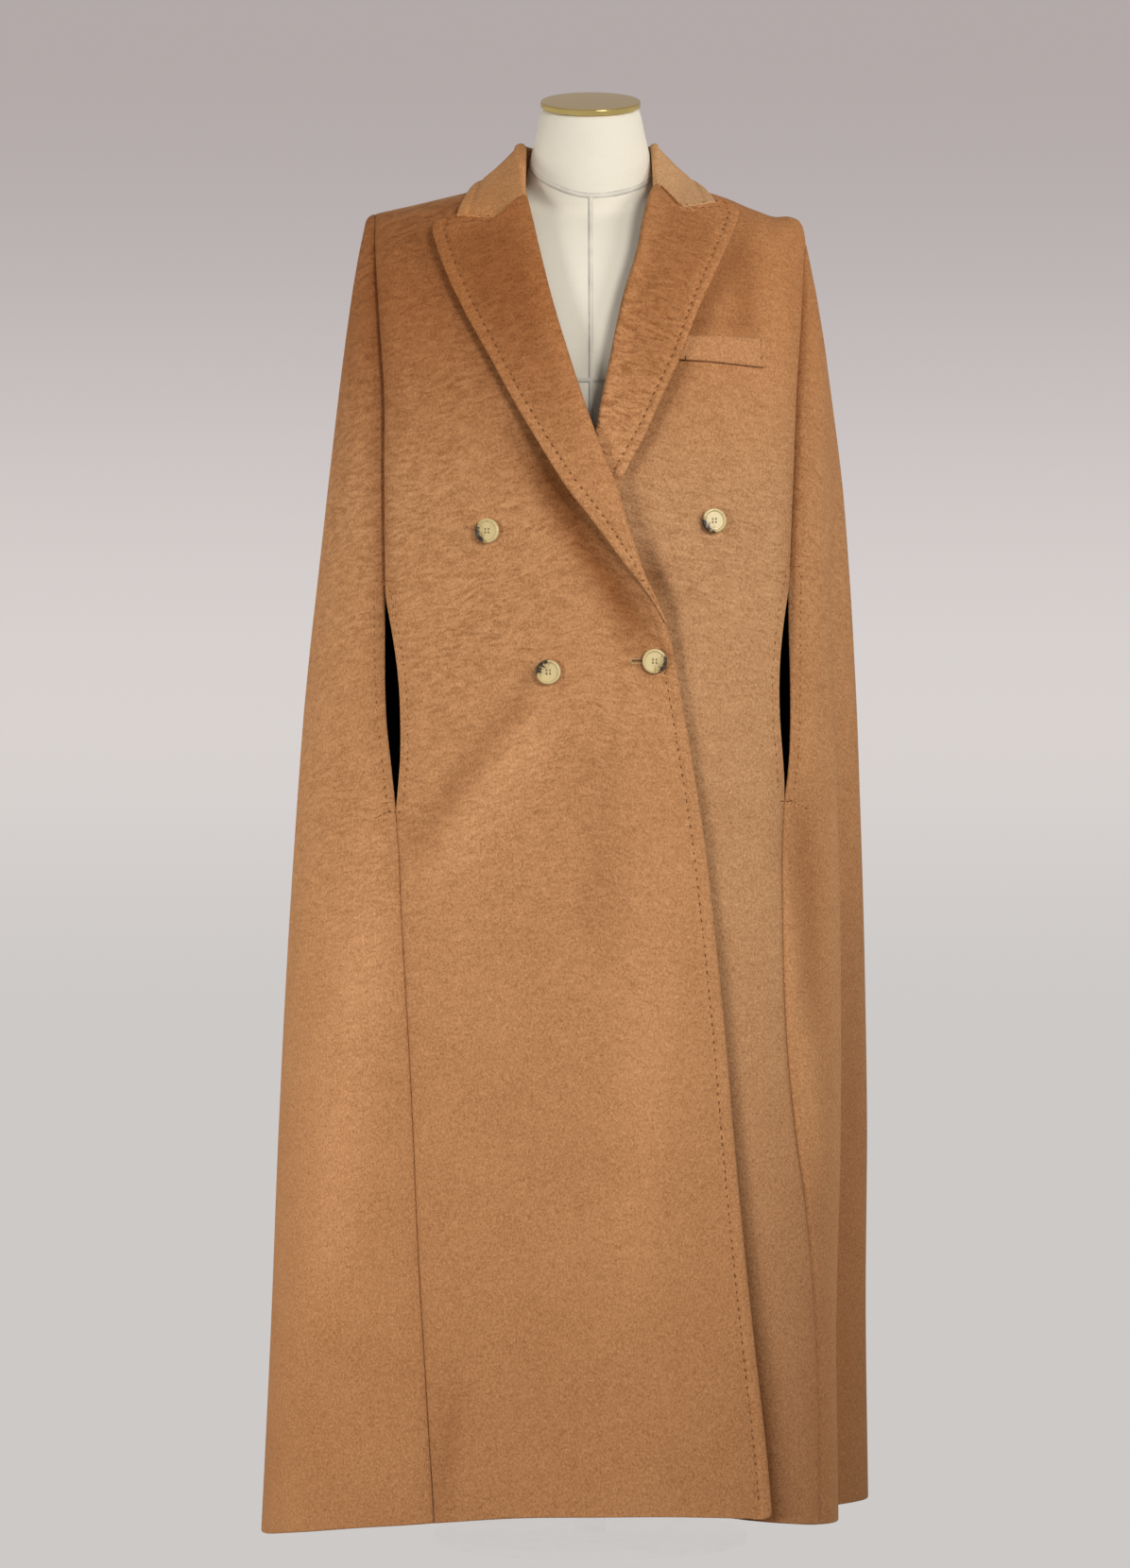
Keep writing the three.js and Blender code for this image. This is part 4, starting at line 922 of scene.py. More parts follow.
# Painted shade over the middle of each lapel leaf, fading off its edge, roll, top and lower end; a little
# painted light over the whole leaf shows by its edges.
LAPEL_SHADE_REACH = {"edge": 2, "edge_fade": 24, "roll": 0.3, "top": 0.1, "end": 0.9, "end_fade": 0.5}
LAPEL_MIDDLE_SHADE = 0.66
LAPEL_PAINTED_LIGHT = 0.06
PEAK_ROUND = 7
TOP_ROUND = 0.03
ROLL_STEP = 0.02
FLAT_FROM = 0.5
HALVINGS = 26


def settled(too_high):
    """Level found by halving between the shoulder ridge and the hem, for a whole array at once."""
    low = 0 * too_high(0.0).astype(float)
    high = low + HEM
    for _ in range(HALVINGS):
        middle = (low + high) / 2
        above = too_high(middle)
        low, high = np.where(above, middle, low), np.where(above, high, middle)
    return (low + high) / 2


def front_place(x, z, lift, creased=1.0):
    """Point and outward direction on a front, seen from ahead at x and z, with a share of its creases."""
    x, z = np.broadcast_arrays(x, z)
    level = settled(lambda middle: plain_height(x, middle + 0 * x) > z)
    return cape_place(front_angle(x, level), level, lift, creased)


def between(first, last, share):
    """Value on the straight way from first to last."""
    return first + (last - first) * share


def top_line(side, column, leaf):
    """Place on the top edge of a lapel: straight stretches with corners that are a little rounded."""
    top = LAPEL_TOP[side]
    steps = (-TOP_ROUND, 0, TOP_ROUND)
    return sum(np.interp(leaf + step, top["share"], top[column]) for step in steps) / len(steps)


def grid_normals(point, toward):
    """Directions square to a grid of points, turned to the side of `toward` at three quarters of its
    columns."""
    normal = unit(np.cross(np.gradient(point, axis=0), np.gradient(point, axis=1)))
    r, c = point.shape[0] // 2, point.shape[1] * 3 // 4
    return normal * np.sign(normal[r, c] @ toward[r, c])


def lapel_end(side, share):
    """How far a lapel has tapered into the front's edge, from 0 to 1 at its lower end."""
    return soft((share - LAPEL_TAPER[side]) / (1 - LAPEL_TAPER[side]))


def lapel_point(side, turn, leaf, share):
    """Point of a lapel. While turn goes from 0 to 1 it circles the roll; then leaf goes from the roll to
    the outer edge, over the front. Share runs down the roll from the gorge to the end."""
    top, lift = LAPEL_TOP[side], LIFT[side]

    def roll(at):
        level = between(*LAPEL_LEVELS[side], np.clip(at, 0, 1))
        return cape_place(np.interp(level, LEVELS, EDGE_ANGLE[side]), level, lift)

    spot, normal = roll(share)
    away = np.cross(roll(share + ROLL_STEP)[0] - roll(share - ROLL_STEP)[0], normal)
    away *= (-SIDES[side] * np.sign(away[..., :1])) / np.linalg.norm(away, axis=-1, keepdims=True)
    full = 1 - LAPEL["shrink"] * lapel_end(side, share)
    centre = LAPEL["gap"] / 2 * full
    radius = centre + CLOTH * full
    rolled = spot + normal * (centre - radius * np.cos(np.pi * turn))[..., None]
    rolled = rolled + away * (LAPEL["seam"] * full + radius * np.sin(np.pi * turn))[..., None]
    edge_z = between(top["z"][-1], roll(np.array(1.0))[0][2], share)
    edge_x = along(LAPEL_EDGE, side, edge_z) - SIDES[side] * cut_off(PEAK_ROUND, top["z"][-1] - edge_z)
    bend = (1 - np.clip(share / LAPEL["bend"], 0, 1)) ** 2
    bend_x, bend_z = (
        bend * (top_line(side, axis, leaf) - between(top[axis][0], top[axis][-1], leaf)) for axis in "xz")
    x = between(spot[..., 0], edge_x, leaf) + bend_x
    z = between(spot[..., 2], edge_z, leaf) + bend_z
    under, outward = front_place(x, z, lift, 1 - soft(leaf / FLAT_FROM))
    begin, end = LAPEL_SETTLE[side]
    settle = 1 - LAPEL["press"] * leaf * soft((share - begin) / (end - begin))
    off = (between(LAPEL["gap"], LAPEL["edge_gap"], leaf) + CLOTH) * full * settle
    flat = under + outward * off[..., None] + away * (LAPEL["seam"] * full * (1 - leaf))[..., None]
    return np.where((turn < 1)[..., None], rolled, flat)


def lapel_width(side, share):
    """Width of a lapel from the roll to the outer edge."""
    edge, roll = (lapel_point(side, 1 + 0 * share, leaf + 0 * share, share) for leaf in (1, 0))
    return np.linalg.norm(edge - roll, axis=-1)


# The lapels' upper tones are painted shade, darkest high on the wearer's right lapel.
lapel_wool = {
    "right": wool("lapel_wool_right", (1.03, 0.99, 0.93), (0.75, 0.575, 0.42), (0.79, 0.62, 0.47), 0.7),
    "left": wool("lapel_wool_left", (1.04, 1.02, 0.98), (0.92, 0.82, 0.71), (0.92, 0.80, 0.68), 1.6),
}
for side in SIDES:
    share = lines(LAPEL["long"], LAPEL_GRID["rows"]) / LAPEL["long"]
    wide = lapel_width(side, share)[:, None]
    near = RIM[::-1] * np.minimum(1, wide / (LAPEL["crowded"] * RIM[-1]))
    even = (wide - near[:, :1]) * np.linspace(0, 1, LAPEL_GRID["columns"] + 1)[1:-1]
    out = np.concatenate([even, wide - near], 1)
    share = share[:, None]
    roll_turn = np.linspace(0, 1, LAPEL_GRID["turn_columns"])
    turn = np.concatenate([roll_turn, np.ones(out.shape[1])]) + 0 * share
    leaf = np.concatenate([0 * roll_turn + 0 * share, out / wide], 1)
    point = lapel_point(side, turn, leaf, share + 0 * turn)
    normal = grid_normals(point, 0 * point + [0, -1, 0.2])
    from_edge = np.where(turn < 1, FAR, (1 - leaf) * wide)
    relief = edge_relief(from_edge, LAPEL_ROW[side]) * soft((wide - LAPEL["narrow"]) / LAPEL["narrow_fade"])
    point = point + normal * relief[..., None]
    side_gap = np.minimum(turn * LAPEL["turn_long"], from_edge)
    end_gap = np.minimum(share, 1 - share) * LAPEL["long"] + 0 * turn
    thick = LAPEL["thick"] * (1 - LAPEL["thin"] * lapel_end(side, share))
    # Painted shade in the middle of the leaf, fading towards its edge, roll, top and lower end.
    middle_shade = soft((from_edge - LAPEL_SHADE_REACH["edge"]) / LAPEL_SHADE_REACH["edge_fade"]) * soft(leaf / LAPEL_SHADE_REACH["roll"])
    middle_shade = middle_shade * soft(share / LAPEL_SHADE_REACH["top"]) * soft((LAPEL_SHADE_REACH["end"] - share) / LAPEL_SHADE_REACH["end_fade"])
    piece = shell("lapel_leaf_" + side, point, normal, side_gap, end_gap, thick, lapel_wool[side],
                  "lapel_" + side, black_inside=False, hollow_shade=LAPEL_MIDDLE_SHADE * middle_shade - LAPEL_PAINTED_LIGHT)

# Collar: one band of the same wool that stands up round the neck, folds over and falls on the shoulders.
# Its ends are sewn to the lapels along the gorge.
COLLAR = {
    "station": [0, 0.25, 0.5, 0.68, 0.85, 1],
    "angle": [0, 34, 68, 92, 115, 134],
    "base": [74.5, 74.5, 74.5, 74.5, 78, 89],
    "foot": [1.3, 1.3, 1, 0.8, 1, 2.5],
    "fold": [66, 64.5, 59.5, 57, 63, 84],
    "fold_z": [1328, 1329, 1331, 1329, 1308, 1280],
    "edge_angle": [0, 33, 66, 87, 103, 121],
    "edge": [84, 88, 102, 110, 120, 149],
}
COLLAR_END = {"right": 1, "left": 0.94}
COLLAR_NARROW = {"share": 0.06, "reach": 0.6}
LIFT_REACH = 0.5
COLLAR_LEAN = {"from": 0.62, "over": 0.4}
COLLAR_FOLD = {"roll": 4.2, "wider": 1.8, "fuller": 4, "edge_lift": 6, "back_lift": 4.4, "gorge_share": 0.3,
               "gorge_gap": 0.7, "corner": 0.77, "foot_drop": 5, "knee_out": 0.42, "knee_high": 0.54}
STAND_END = 0.3
FOLD_END = 0.55
COLLAR_THICK = 3.2
COLLAR_LONG = 420
STAND_LONG = 120
FALL_LONG = 60
COLLAR_GRID = {"columns": 110, "stand": 9, "fold": 15, "fall": 16}


def roof_place(x, y):
    """Point and outward direction on the shoulders, seen from above at x and y."""

    def too_near(level):
        level = level + 0 * x
        half = sided(CAPE, ("left", "right"), x < 0, level)
        deep = sided(CAPE, ("front", "back"), y < 0, level)
        curve = along(CAPE, "round", level)
        inside = np.maximum(0, 1 - (np.abs(x) / half) ** curve)
        return deep * inside ** (1 / curve) < np.abs(y)

    level = settled(too_near)
    angle = front_angle(x, level)
    behind = np.pi * np.where(x < 0, -1, 1) - angle
    return cape_place(np.where(y < 0, angle, behind), level, creased=0.0)


def collar_point(s, t):
    """Point of the collar: a straight stand, half a circle over the fold, then a fall that bends down to
    the shoulders, never closer to the cape than its lift. Its ends run into the roll and the top edge of
    the lapels."""
    side = np.where(s < 0.5, -1, 1)
    reach = np.abs(s - 0.5) * 2
    at = row_at(COLLAR, reach * np.where(s < 0.5, COLLAR_END["right"], COLLAR_END["left"]))
    lean = soft((COLLAR_LEAN["from"] - s) / COLLAR_LEAN["over"])
    roll = COLLAR_FOLD["roll"] + COLLAR_FOLD["wider"] * lean
    lift = between(COLLAR_FOLD["back_lift"], COLLAR_FOLD["edge_lift"], soft(reach / LIFT_REACH))

    def plan(angle, out, z):
        return xyz(side * out * np.sin(np.radians(angle)), out * np.cos(np.radians(angle)), z)

    outward = plan(at["angle"], 1, 0)
    foot_x, foot_y, _ = np.moveaxis(plan(at["angle"], at["base"], 0), -1, 0)
    foot = roof_place(foot_x, foot_y)[0] + xyz(0, 0, at["foot"])
    fold = plan(at["angle"], at["fold"] + COLLAR_FOLD["fuller"] * lean, at["fold_z"] - roll)
    stand = between(foot, fold, np.clip(t / STAND_END, 0, 1)[..., None])
    arc = np.pi * np.clip((t - STAND_END) / (FOLD_END - STAND_END), 0, 1)
    over = fold + outward * (roll * (1 - np.cos(arc)))[..., None] + xyz(0, 0, roll * np.sin(arc))
    leaf = np.clip((t - FOLD_END) / (1 - FOLD_END), 0, 1)
    start = fold + outward * 2 * roll[..., None]
    narrow = 1 - COLLAR_NARROW["share"] * np.where(s < 0.5, 0, soft(reach / COLLAR_NARROW["reach"]))
    edge_x, edge_y, _ = np.moveaxis(plan(at["edge_angle"], at["edge"] * narrow, 0), -1, 0)
    rest, up = roof_place(edge_x, edge_y)
    edge = rest + up * lift[..., None]
    knee = between(start, edge, COLLAR_FOLD["knee_out"])
    knee[..., 2] = between(edge[..., 2], start[..., 2], COLLAR_FOLD["knee_high"])
    u = leaf[..., None]
    fall = start * (1 - u) ** 2 + 2 * knee * u * (1 - u) + edge * u ** 2
    below, up = roof_place(fall[..., 0], fall[..., 1])
    high = np.sum((fall - below) * up, -1)
    fall = fall + up * np.maximum(0, lift - high)[..., None]
    point = np.where((t <= STAND_END)[..., None], stand, over)
    point = np.where((t <= FOLD_END)[..., None], point, fall)
    sewn = soft((reach - 1 + COLLAR_FOLD["gorge_share"]) / COLLAR_FOLD["gorge_share"])[..., None]
    drop = COLLAR_FOLD["foot_drop"] * np.clip(1 - t / STAND_END, 0, 1)
    behind = xyz(0, 0.5 * drop + COLLAR_FOLD["gorge_gap"], COLLAR_FOLD["gorge_gap"] - drop)
    for name, sign in SIDES.items():
        end = lapel_point(name, arc / np.pi, leaf * COLLAR_FOLD["corner"], 0 * s) + behind
        point = np.where((side == sign)[..., None], between(point, end, sewn), point)
    return point


collar_long = lines(COLLAR_LONG, COLLAR_GRID["columns"]) / COLLAR_LONG
stand_rows = np.linspace(0, STAND_END, COLLAR_GRID["stand"])[:-1]
fold_rows = np.linspace(STAND_END, FOLD_END, COLLAR_GRID["fold"])[:-1]
fall_rim = 1 - RIM[::-1] / FALL_LONG
fall_rows = np.concatenate([np.linspace(0, fall_rim[0], COLLAR_GRID["fall"])[:-1], fall_rim])
collar_down = np.concatenate([stand_rows, fold_rows, between(FOLD_END, 1, fall_rows)])
s, t = np.meshgrid(collar_long, collar_down, indexing="ij")
point = collar_point(s, t)
normal = grid_normals(point, point * [1, 1, 0] + [0, 0, 60])
from_ends = np.minimum(s, 1 - s) * COLLAR_LONG
on_fall = t > FOLD_END
from_edge = np.where(on_fall, (1 - t) / (1 - FOLD_END) * FALL_LONG, np.minimum(t * STAND_LONG, FAR))
point = point + normal * edge_relief(np.where(on_fall, from_edge, FAR))[..., None]
# The collar's upper tones are painted light, most on the wearer's left, which faces the lamps.
collar_wool = wool("collar_wool", (1, 1, 1), (1.17, 1.04, 0.82), (1.30, 1.48, 1.62), 0.4)
collar = shell("collar_band", point, normal, from_ends, from_edge, COLLAR_THICK, collar_wool, "collar",
               black_inside=False)

# Breast welt: a narrow folded strip sewn on the left front over the pocket's mouth.
# Its upper edge is a fold, and its ends are caught down.
WELT = {"inner": 84, "outer": 161, "top_inner": 1139, "top_outer": 1136.5, "high_inner": 23,
        "high_outer": 28, "slant": -6, "gap": 0.9, "thick": 3.2, "puff": 0.7}
WELT_LONG = 78
WELT_HIGH = 26
WELT_GRID = {"across": 30, "down": 10}
welt_across = lines(WELT_LONG, WELT_GRID["across"]) / WELT_LONG
welt_down = lines(WELT_HIGH, WELT_GRID["down"]) / WELT_HIGH
t, s = np.meshgrid(welt_down, welt_across, indexing="ij")
welt_x = between(WELT["inner"], WELT["outer"], s) + WELT["slant"] * t * (1 - s)
welt_drop = between(WELT["high_inner"], WELT["high_outer"], s) * t
welt_z = between(WELT["top_inner"], WELT["top_outer"], s) - welt_drop
under, normal = front_place(welt_x, welt_z, LIFT["left"])
swell = WELT["puff"] * np.sin(np.pi * np.clip(t, 0, 1)) ** 0.5 * np.sin(np.pi * np.clip(s, 0, 1)) ** 0.3
point = under + normal * (WELT["gap"] + WELT["thick"] + swell)[..., None]
welt_wool = wool("welt_wool", (1, 1, 1), (1, 1, 1), (1.02, 0.97, 0.92), 0.4)
welt_gaps = np.minimum(s, 1 - s) * WELT_LONG, np.minimum(t, 1 - t) * WELT_HIGH
welt = shell("breast_welt_strip", point, normal, *welt_gaps, WELT["thick"], welt_wool, "breast_welt",
             black_inside=False)

# Buttons: four turned horn buttons with a raised rim, a dished middle and four holes.
# Each is sewn on with thread through the holes and a short wound shank.
BUTTON = {"radius": 11.6, "side": 1.9, "thick": 4.2, "rim": 3.4, "dish": 1.5, "seat": 0.4, "sharp": 50,
          "stem": 2.2, "shank": 2.4, "waist": 0.8, "waist_down": 1.0, "hole": 0.65, "hole_edge": 0.2,
          "hole_soft": 0.35, "hole_deep": 1.8, "pitch": 1.6, "strand": 0.24, "strand_rise": 0.7,
          "strand_sunk": 0.5}
BUTTONS = {
    "name": ["button_right_upper", "button_right_lower", "button_left_upper", "button_fastened"],
    "front": ["right", "right", "left", "right"],
    "x": [-94.5, -39, 113, 57.5],
    "z": [954.5, 823.5, 964.5, 833.5],
    "streak": [195, 140, 215, -25],
}
HORN_CREAM = (0.62, 0.49, 0.24, 1)
HORN_TAN = (0.34, 0.225, 0.08, 1)
HORN_DARK_AND_HOLE_SHADE = (0.022, 0.016, 0.012, 1)
THREAD_DEEP = (0.30, 0.20, 0.10, 1)
THREAD_PALE = (0.55, 0.40, 0.22, 1)


def button_shape():
    """Turned profile of radius and height: back, rounded side, raised rim, slope to the dish, flat
    middle."""
    thick, dish = BUTTON["thick"], BUTTON["dish"]
    inner = BUTTON["radius"] - BUTTON["side"]
    side = np.linspace(-np.pi / 2, np.pi / 2, 13)
    rim_r = inner + BUTTON["side"] * np.cos(side)
    rim_z = thick / 2 + thick / 2 * np.sin(side)
    slope = np.linspace(0, 1, 12)[1:]
    slope_r = inner - (BUTTON["rim"] - BUTTON["side"]) * slope
    slope_z = thick - dish * soft(slope)
    flat_r = np.linspace(slope_r[-1], 0, 46)[1:]
    back_r = np.linspace(0.3, inner, 6)[:-1]
    radius = np.concatenate([[0], back_r, rim_r, slope_r, flat_r])
    height = np.concatenate([[0], 0 * back_r, rim_z, slope_z, 0 * flat_r + thick - dish])
    return np.stack([radius, height], -1)


def horn():
    """Polished horn: cream layers, tan veins, and near-black patches towards the side that the attribute
    streak points to. The holes are painted near-black as shade."""
    finish = Finish("horn")
    grain = finish.noise(finish.place(), 190, 3, 1.2)
    vein = finish.noise(finish.place((1, 1, 0.3)), 420, 3, 1.5)
    streak = finish.mark("streak")
    pit = finish.mark("pit")
    dark = finish.ramp(streak + 1.7 * (grain - 0.5), 0.5, 0.72)
    tan = finish.ramp(streak + 1.7 * (vein - 0.5), 0.1, 0.75)
    colour = finish.blend(dark, finish.blend(tan, HORN_CREAM, HORN_TAN), HORN_DARK_AND_HOLE_SHADE)
    # Painted shade: the holes are coloured near-black.
    colour = finish.blend(pit, colour, HORN_DARK_AND_HOLE_SHADE)
    return finish.surface({
        "Base Color": colour,
        "Roughness": finish.ramp(grain, 0.3, 0.7, 0.22, 0.34),
        "Specular IOR Level": 0.5,
        "Coat Weight": 0.25,
        "Coat Roughness": 0.12,
    })


def square_to(normal):
    """Two directions square to a normal: one level, one rising."""
    level = unit(np.cross([0, 0, 1.0], normal))
    return level, np.cross(normal, level)


def thread(name, deep, pale):
    """Waxed sewing thread with a twist in its tone."""
    finish = Finish(name)
    twist = finish.noise(finish.place(), 1500, 1)
    return finish.surface({
        "Base Color": finish.blend(twist, deep, pale),
        "Roughness": finish.ramp(twist, 0.3, 0.7, 0.7, 0.9),
        "Specular IOR Level": 0.1,
    })


horn_look, button_thread = horn(), thread("button_thread", THREAD_DEEP, THREAD_PALE)
disc_points, disc_faces = turned(button_shape(), 112)
centres = np.array([(i, j) for i in (-1, 1) for j in (-1, 1)]) * BUTTON["pitch"]
near = np.min(np.hypot(*(disc_points[:, None, :2] - centres).transpose(2, 0, 1)), 1)
front_face = disc_points[:, 2] > BUTTON["thick"] / 2
in_hole = soft((BUTTON["hole"] + BUTTON["hole_edge"] - near) / BUTTON["hole_soft"])
pit = in_hole * BUTTON["hole_deep"] * front_face
disc_points = disc_points - xyz(0, 0, pit)
bar = np.linspace(-1, 1, 9)
bar_z = BUTTON["strand_rise"] * np.cos(bar * np.pi / 2) - BUTTON["strand_sunk"]
bar_path = xyz(0, BUTTON["pitch"] * bar, bar_z)
strand_points, strand_faces = swept(bar_path, xyz(0, 0, 1 + 0 * bar), circle(BUTTON["strand"], 8))
shank_profile = [
    (0, -BUTTON["stem"]),
    (BUTTON["shank"], -BUTTON["stem"]),
    (BUTTON["shank"] * BUTTON["waist"], -BUTTON["waist_down"]),
    (BUTTON["shank"], 0),
    (0, 0),
]
dish_z = BUTTON["thick"] - BUTTON["dish"]
strands = [(strand_points + [sign * BUTTON["pitch"], 0, dish_z], strand_faces) for sign in (-1, 1)]
sewn_points, sewn_faces = joined(strands + [turned(shank_profile, 20)])
for name, front, x, z, streak in zip(*BUTTONS.values()):
    spot, normal = (value[0] for value in front_place(np.array([x]), np.array([z]), LIFT[front]))
    frame_turn = np.stack([*square_to(normal), normal])
    foot = spot + normal * (BUTTON["seat"] + BUTTON["stem"])
    piece = put(name + "_horn", disc_points @ frame_turn + foot, disc_faces, horn_look, "horn", name,
                sharp=BUTTON["sharp"])
    toward = np.array([np.cos(np.radians(streak)), np.sin(np.radians(streak))])
    mark(piece, streak=disc_points[:, :2] @ toward / BUTTON["radius"], pit=pit / BUTTON["hole_deep"])
    put(name + "_thread", sewn_points @ frame_turn + foot, sewn_faces, button_thread, "wool")

# Sewing: prick stitches by hand along the lapels, the collar's ends, the front edge, the slits and the
# welt, and short rows across the ends of the slits. Each stitch is a short loop of thread in the nap.
STITCH = {"pitch": 8.0, "long": 3.4, "wide": 0.62, "high": 0.3, "sunk": 0.35,
          "uneven_pitch": 0.12, "uneven_deep": 0.2, "uneven_long": 0.3}
LEAF_ROW = {"edge_high": 0.15, "top_high": 0.1, "first": 0.02, "last": 0.97, "least": 0.35, "beside": 0.02}
TOP_ROW = {"share": 0.02, "first": 0.32, "last": 0.9, "beside": 0.01}
COLLAR_ROW = {"right": 0.02, "left": 0.98, "first": 0.45, "last": 0.88, "beside": 0.004}
EDGE_ROW = {"top": 842, "foot": 52}
SLIT_ROW = {"front": 7.5, "side": 7.0, "short": 4, "across": 6.5, "beyond": 2, "pitch": 4.4}
SLIT_FOOT_ROW = {"from": 3, "long": 17, "drop": 9, "pitch": 5}
WELT_ROW = {"in": 4, "top": 3, "foot": 23, "high": 0.3, "pitch": 4.5}
STITCH_DEEP = (0.11, 0.045, 0.016, 1)
STITCH_PALE = (0.25, 0.11, 0.042, 1)


def stitch_row(path, normal, pitch=STITCH["pitch"]):
    """Small spindles along a path of points on the cloth, a little uneven in pitch, length and depth."""
    steps = np.linalg.norm(np.diff(path, axis=0), axis=-1)
    gone = np.concatenate([[0], np.cumsum(steps)])
    at = np.arange(pitch / 2, gone[-1], pitch)
    hand = np.random.default_rng(len(at)).uniform(-1, 1, (3, len(at), 1))
    at = at + STITCH["uneven_pitch"] * pitch * hand[0, :, 0]
    up = point_at(at, gone, normal)
    spot = point_at(at, gone, path) + up * STITCH["uneven_deep"] * hand[1]
    ahead = unit(point_at(at + 0.5, gone, path) - point_at(at - 0.5, gone, path))
    aside = np.cross(ahead, up)[:, None] * STITCH["wide"]
    ahead = (ahead * (1 + STITCH["uneven_long"] * hand[2]))[:, None] * STITCH["long"] / 2
    ball, faces = turned([(0, -1), (0.55, -0.75), (1, 0), (0.55, 0.75), (0, 1)], 6)
    x, y, z = ball[:, :1], ball[:, 1:2], ball[:, 2:]
    points = spot[:, None] + ahead * z + aside * x + up[:, None] * STITCH["high"] * y
    starts = np.arange(len(at))[:, None, None] * len(ball)
    return points.reshape(-1, 3), [(starts + group).reshape(-1, group.shape[1]) for group in faces]


def row_on(path, beside, high):
    """Stitches along a path on a leaf, raised square to it; beside is the path moved across the leaf."""
    up = unit(np.cross(np.gradient(path, axis=0), beside - path))
    up *= -np.sign(up[len(up) // 2, 1])
    return stitch_row(path + up * high, up)


rows = []
for side in SIDES:
    share = np.linspace(LEAF_ROW["first"], LEAF_ROW["last"], 300)
    leaf = np.clip(1 - LAPEL_ROW[side] / np.maximum(lapel_width(side, share), 1), LEAF_ROW["least"], 1)
    steps = 0, LEAF_ROW["beside"]
    path, beside = (lapel_point(side, 1 + 0 * share, leaf - step, share) for step in steps)
    rows.append(row_on(path, beside, LEAF_ROW["edge_high"]))
    leaf = np.linspace(TOP_ROW["first"], TOP_ROW["last"], 80)
    shares = TOP_ROW["share"], TOP_ROW["share"] + TOP_ROW["beside"]
    path, beside = (lapel_point(side, 1 + 0 * leaf, leaf, share + 0 * leaf) for share in shares)
    rows.append(row_on(path, beside, LEAF_ROW["top_high"]))
    fall = between(FOLD_END, 1, np.linspace(COLLAR_ROW["first"], COLLAR_ROW["last"], 60))
    ends = COLLAR_ROW[side], COLLAR_ROW[side] + COLLAR_ROW["beside"]
    path, beside = (collar_point(end + 0 * fall, fall) for end in ends)
    rows.append(row_on(path, beside, LEAF_ROW["top_high"]))
z = np.linspace(EDGE_ROW["top"], EDGE_ROW["foot"], 300)
path, up = front_place(along(FRONT_EDGE, "right", z) - EDGE["groove_in"], z, LIFT["right"])
rows.append(stitch_row(path - up * STITCH["sunk"], up))
for side, sign in SIDES.items():
    top, bottom = SLIT[side]["top"], SLIT[side]["bottom"]
    z = np.linspace(top - SLIT_ROW["short"], bottom + SLIT_ROW["short"], 120)
    seam = sign * along(FRONT_SEAM, side, z)
    on_front = seam - sign * (slit_width(side, z) + SLIT_ROW["front"])
    rows.append(stitch_row(*front_place(on_front, z, LIFT[side])))
    rows.append(stitch_row(*front_place(seam + sign * SLIT_ROW["side"], z, no_lift)))
    away = np.linspace(0, 1, 20)
    foot = sign * along(FRONT_SEAM, side, np.array(bottom))
    x = foot + sign * (SLIT_FOOT_ROW["from"] + SLIT_FOOT_ROW["long"] * away)
    path, up = front_place(x, bottom - SLIT_FOOT_ROW["drop"] * away, no_lift)
    rows.append(stitch_row(path, up, SLIT_FOOT_ROW["pitch"]))
    for z in (top + SLIT_ROW["beyond"], bottom - SLIT_ROW["beyond"]):
        x = np.linspace(-SLIT_ROW["across"], SLIT_ROW["across"], 20)
        x = sign * along(FRONT_SEAM, side, np.array(z)) + x
        rows.append(stitch_row(*front_place(x, z + 0 * x, no_lift), SLIT_ROW["pitch"]))
z = np.linspace(WELT["top_inner"] - WELT_ROW["top"], WELT["top_inner"] - WELT_ROW["foot"], 30)
for x in (WELT["inner"] + WELT_ROW["in"], WELT["outer"] - WELT_ROW["in"]):
    path, up = front_place(x + 0 * z, z, LIFT["left"])
    path = path + up * (WELT["gap"] + WELT["thick"] + WELT_ROW["high"])
    rows.append(stitch_row(path, up, WELT_ROW["pitch"]))
stitch_thread = thread("stitch_thread", STITCH_DEEP, STITCH_PALE)
put("prick_stitches", *joined(rows), stitch_thread, "wool")

# Buttonhole: a slot worked in the right front, half under the fastened button.
# Its lips are corded with paler thread, and the slot between them is a dark strip: painted shade in the
# opening.
HOLE = {"inner": 37.5, "outer": 58, "z": 833.5, "apart": 2.0, "lip": 0.65}
SLOT = {"wide": 0.75, "crown": 0.12, "side": -0.2, "foot": -0.4}
loop = np.linspace(0, np.pi, 9)[1:-1]
run = np.linspace(HOLE["inner"], HOLE["outer"], 14)
hole_x = np.concatenate([run[::-1], HOLE["inner"] - HOLE["apart"] * np.sin(loop), run])
hole_z = HOLE["apart"] * np.concatenate([1 + 0 * run, np.cos(loop), -1 + 0 * run])
path, up = front_place(hole_x, HOLE["z"] + hole_z, LIFT["right"])
put("buttonhole_lips", *swept(path, up, circle(HOLE["lip"], 8)), button_thread, "wool")
path, up = front_place(run, HOLE["z"] + 0 * run, LIFT["right"])
slot_x = np.array([-1, 0, 1, 0]) * HOLE["apart"] * SLOT["wide"]
slot_outline = np.stack([slot_x, [SLOT["side"], SLOT["crown"], SLOT["side"], SLOT["foot"]]], -1)
put("buttonhole_slot_shade", *swept(path, up, slot_outline), stitch_thread, "wool")

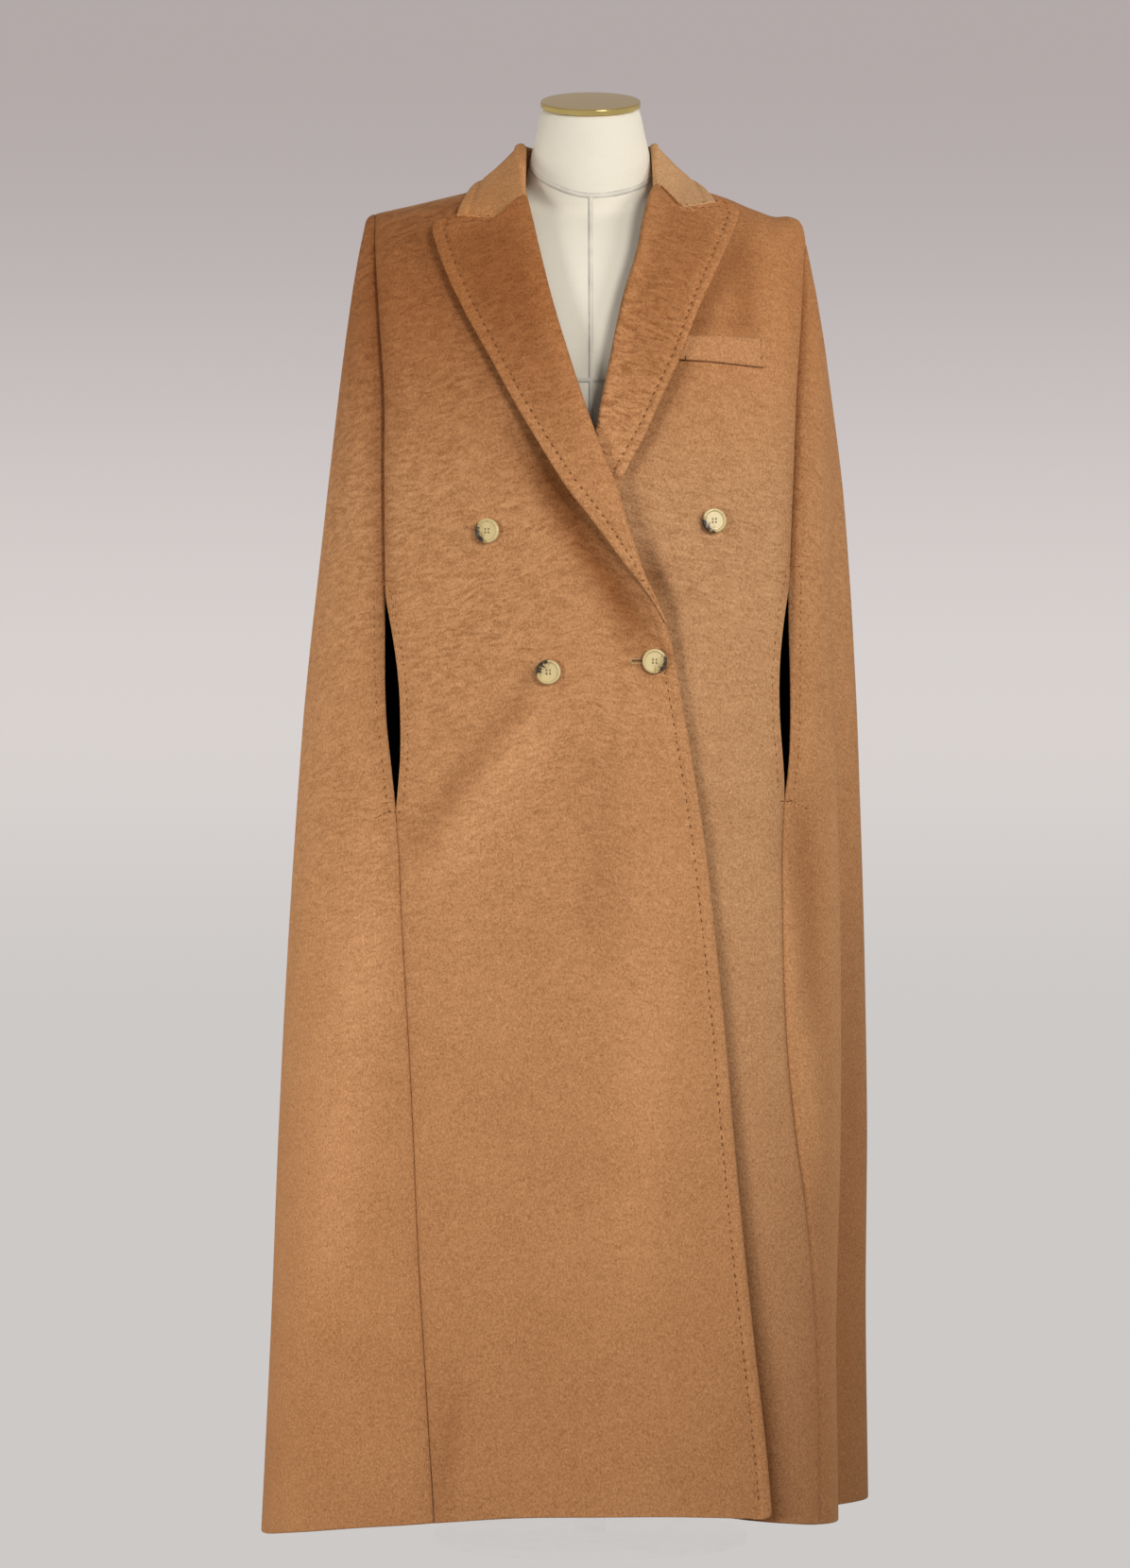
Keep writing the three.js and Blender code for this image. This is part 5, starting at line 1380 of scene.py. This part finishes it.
# Studio: a round pale floor that rises into a wall and a ceiling, with a soft gradient of its own light.
# A low light on the left and a higher one in front on the right cross on the cloth. A third fills the
# right, two strips light the sides from behind, one is a faint fill, and the camera stands level.
STAGE = {"floor": 11.0, "cove": 3.0, "high": 9.0, "middle": 0.02, "below": 0.0005}
HAZE_LOW = (0.61, 0.585, 0.57, 1)
HAZE_MID = (0.69, 0.645, 0.63, 1)
HAZE_TOP = (0.45, 0.40, 0.395, 1)
LIGHTS = {
    "name": ["left_softbox", "front_softbox", "right_softbox", "left_strip", "right_strip", "front_fill"],
    "x": [-2.6, 1.8, 2.5, -2.6, 2.4, -0.6],
    "y": [-3.0, -3.8, -1.8, 0.3, 0.9, -5.2],
    "z": [0.6, 2.1, 1.9, 0.8, 1.4, 1.6],
    "aim": [0.35, 0.95, 1.1, 0.75, 1.2, 1.25],
    "size": [1.3, 1.4, 1.2, 1.0, 1.0, 1.6],
    "spread": [50, 60, 70, 120, 60, 40],
    "power": [6.7, 10.8, 5.2, 11.5, 1.6, 0.8],
}
LAMP_TINT = (1.0, 0.985, 0.965)
AIR = (0.10, 0.095, 0.09)
CAMERA = {"place": (-0.0243, -5.5, 0.72), "lens": 132.5, "sensor": 36}


def backdrop():
    """Painted studio paper that glows: light grey low down, lightest at eye height, lilac grey above."""
    finish = Finish("studio_paper")
    height = finish.node("SeparateXYZ", {}, {0: finish.place()}, "Z")
    lower = finish.blend(finish.ramp(height, 0.0, 0.9), HAZE_LOW, HAZE_MID)
    colour = finish.blend(finish.ramp(height, 0.9, 3.2), lower, HAZE_TOP)
    glow = finish.node("Emission", {}, {"Color": colour, "Strength": 1.0})
    finish.node("OutputMaterial", {}, {"Surface": glow})
    finish.material.cycles.emission_sampling = "NONE"
    return finish.material


cove = np.linspace(0, np.pi / 2, 17)
rise = STAGE["floor"] + STAGE["cove"] * np.sin(cove)
radii = np.array([STAGE["middle"], 2.0, 6.0, *rise, STAGE["floor"] + STAGE["cove"], STAGE["middle"]])
heights = np.array([0, 0, 0, *(STAGE["cove"] * (1 - np.cos(cove))), STAGE["high"], STAGE["high"]])
spin = np.linspace(0, 2 * np.pi, 97)[:-1]
rings = xyz(radii[:, None] * np.sin(spin), radii[:, None] * np.cos(spin), heights[:, None])
index = np.arange(rings.size // 3).reshape(rings.shape[:2])
studio_mesh = bpy.data.meshes.new("studio")
studio_faces = quads(np.concatenate([index, index[:, :1]], 1)).tolist() + index[[0, -1]].tolist()
studio_mesh.from_pydata((rings.reshape(-1, 3) - [0, 0, STAGE["below"]]).tolist(), [], studio_faces)
studio_mesh.shade_smooth()
studio_mesh.materials.append(backdrop())
studio = bpy.data.objects.new("studio", studio_mesh)
bpy.context.scene.collection.objects.link(studio)
studio.visible_diffuse = False

for name, x, y, z, aim, size, spread, power in zip(*LIGHTS.values()):
    lamp = bpy.data.lights.new(name, "AREA")
    lamp.shape = "DISK"
    lamp.size = size
    lamp.spread = np.radians(spread)
    lamp.energy = power
    lamp.color = LAMP_TINT
    stand = bpy.data.objects.new(name, lamp)
    stand.location = (x, y, z)
    stand.visible_glossy = name == "front_softbox"
    stand.rotation_euler = (Vector((0, 0, aim)) - Vector((x, y, z))).to_track_quat("-Z", "Y").to_euler()
    bpy.context.scene.collection.objects.link(stand)

world = bpy.data.worlds.new("studio_air")
world.color = AIR
bpy.context.scene.world = world
bpy.context.scene.view_settings.view_transform = "Standard"

lens = bpy.data.cameras.new("camera")
lens.lens = CAMERA["lens"]
lens.sensor_width = CAMERA["sensor"]
camera = bpy.data.objects.new("camera", lens)
camera.location = CAMERA["place"]
camera.rotation_euler = (np.pi / 2, 0, 0)
bpy.context.scene.collection.objects.link(camera)
bpy.context.scene.camera = camera
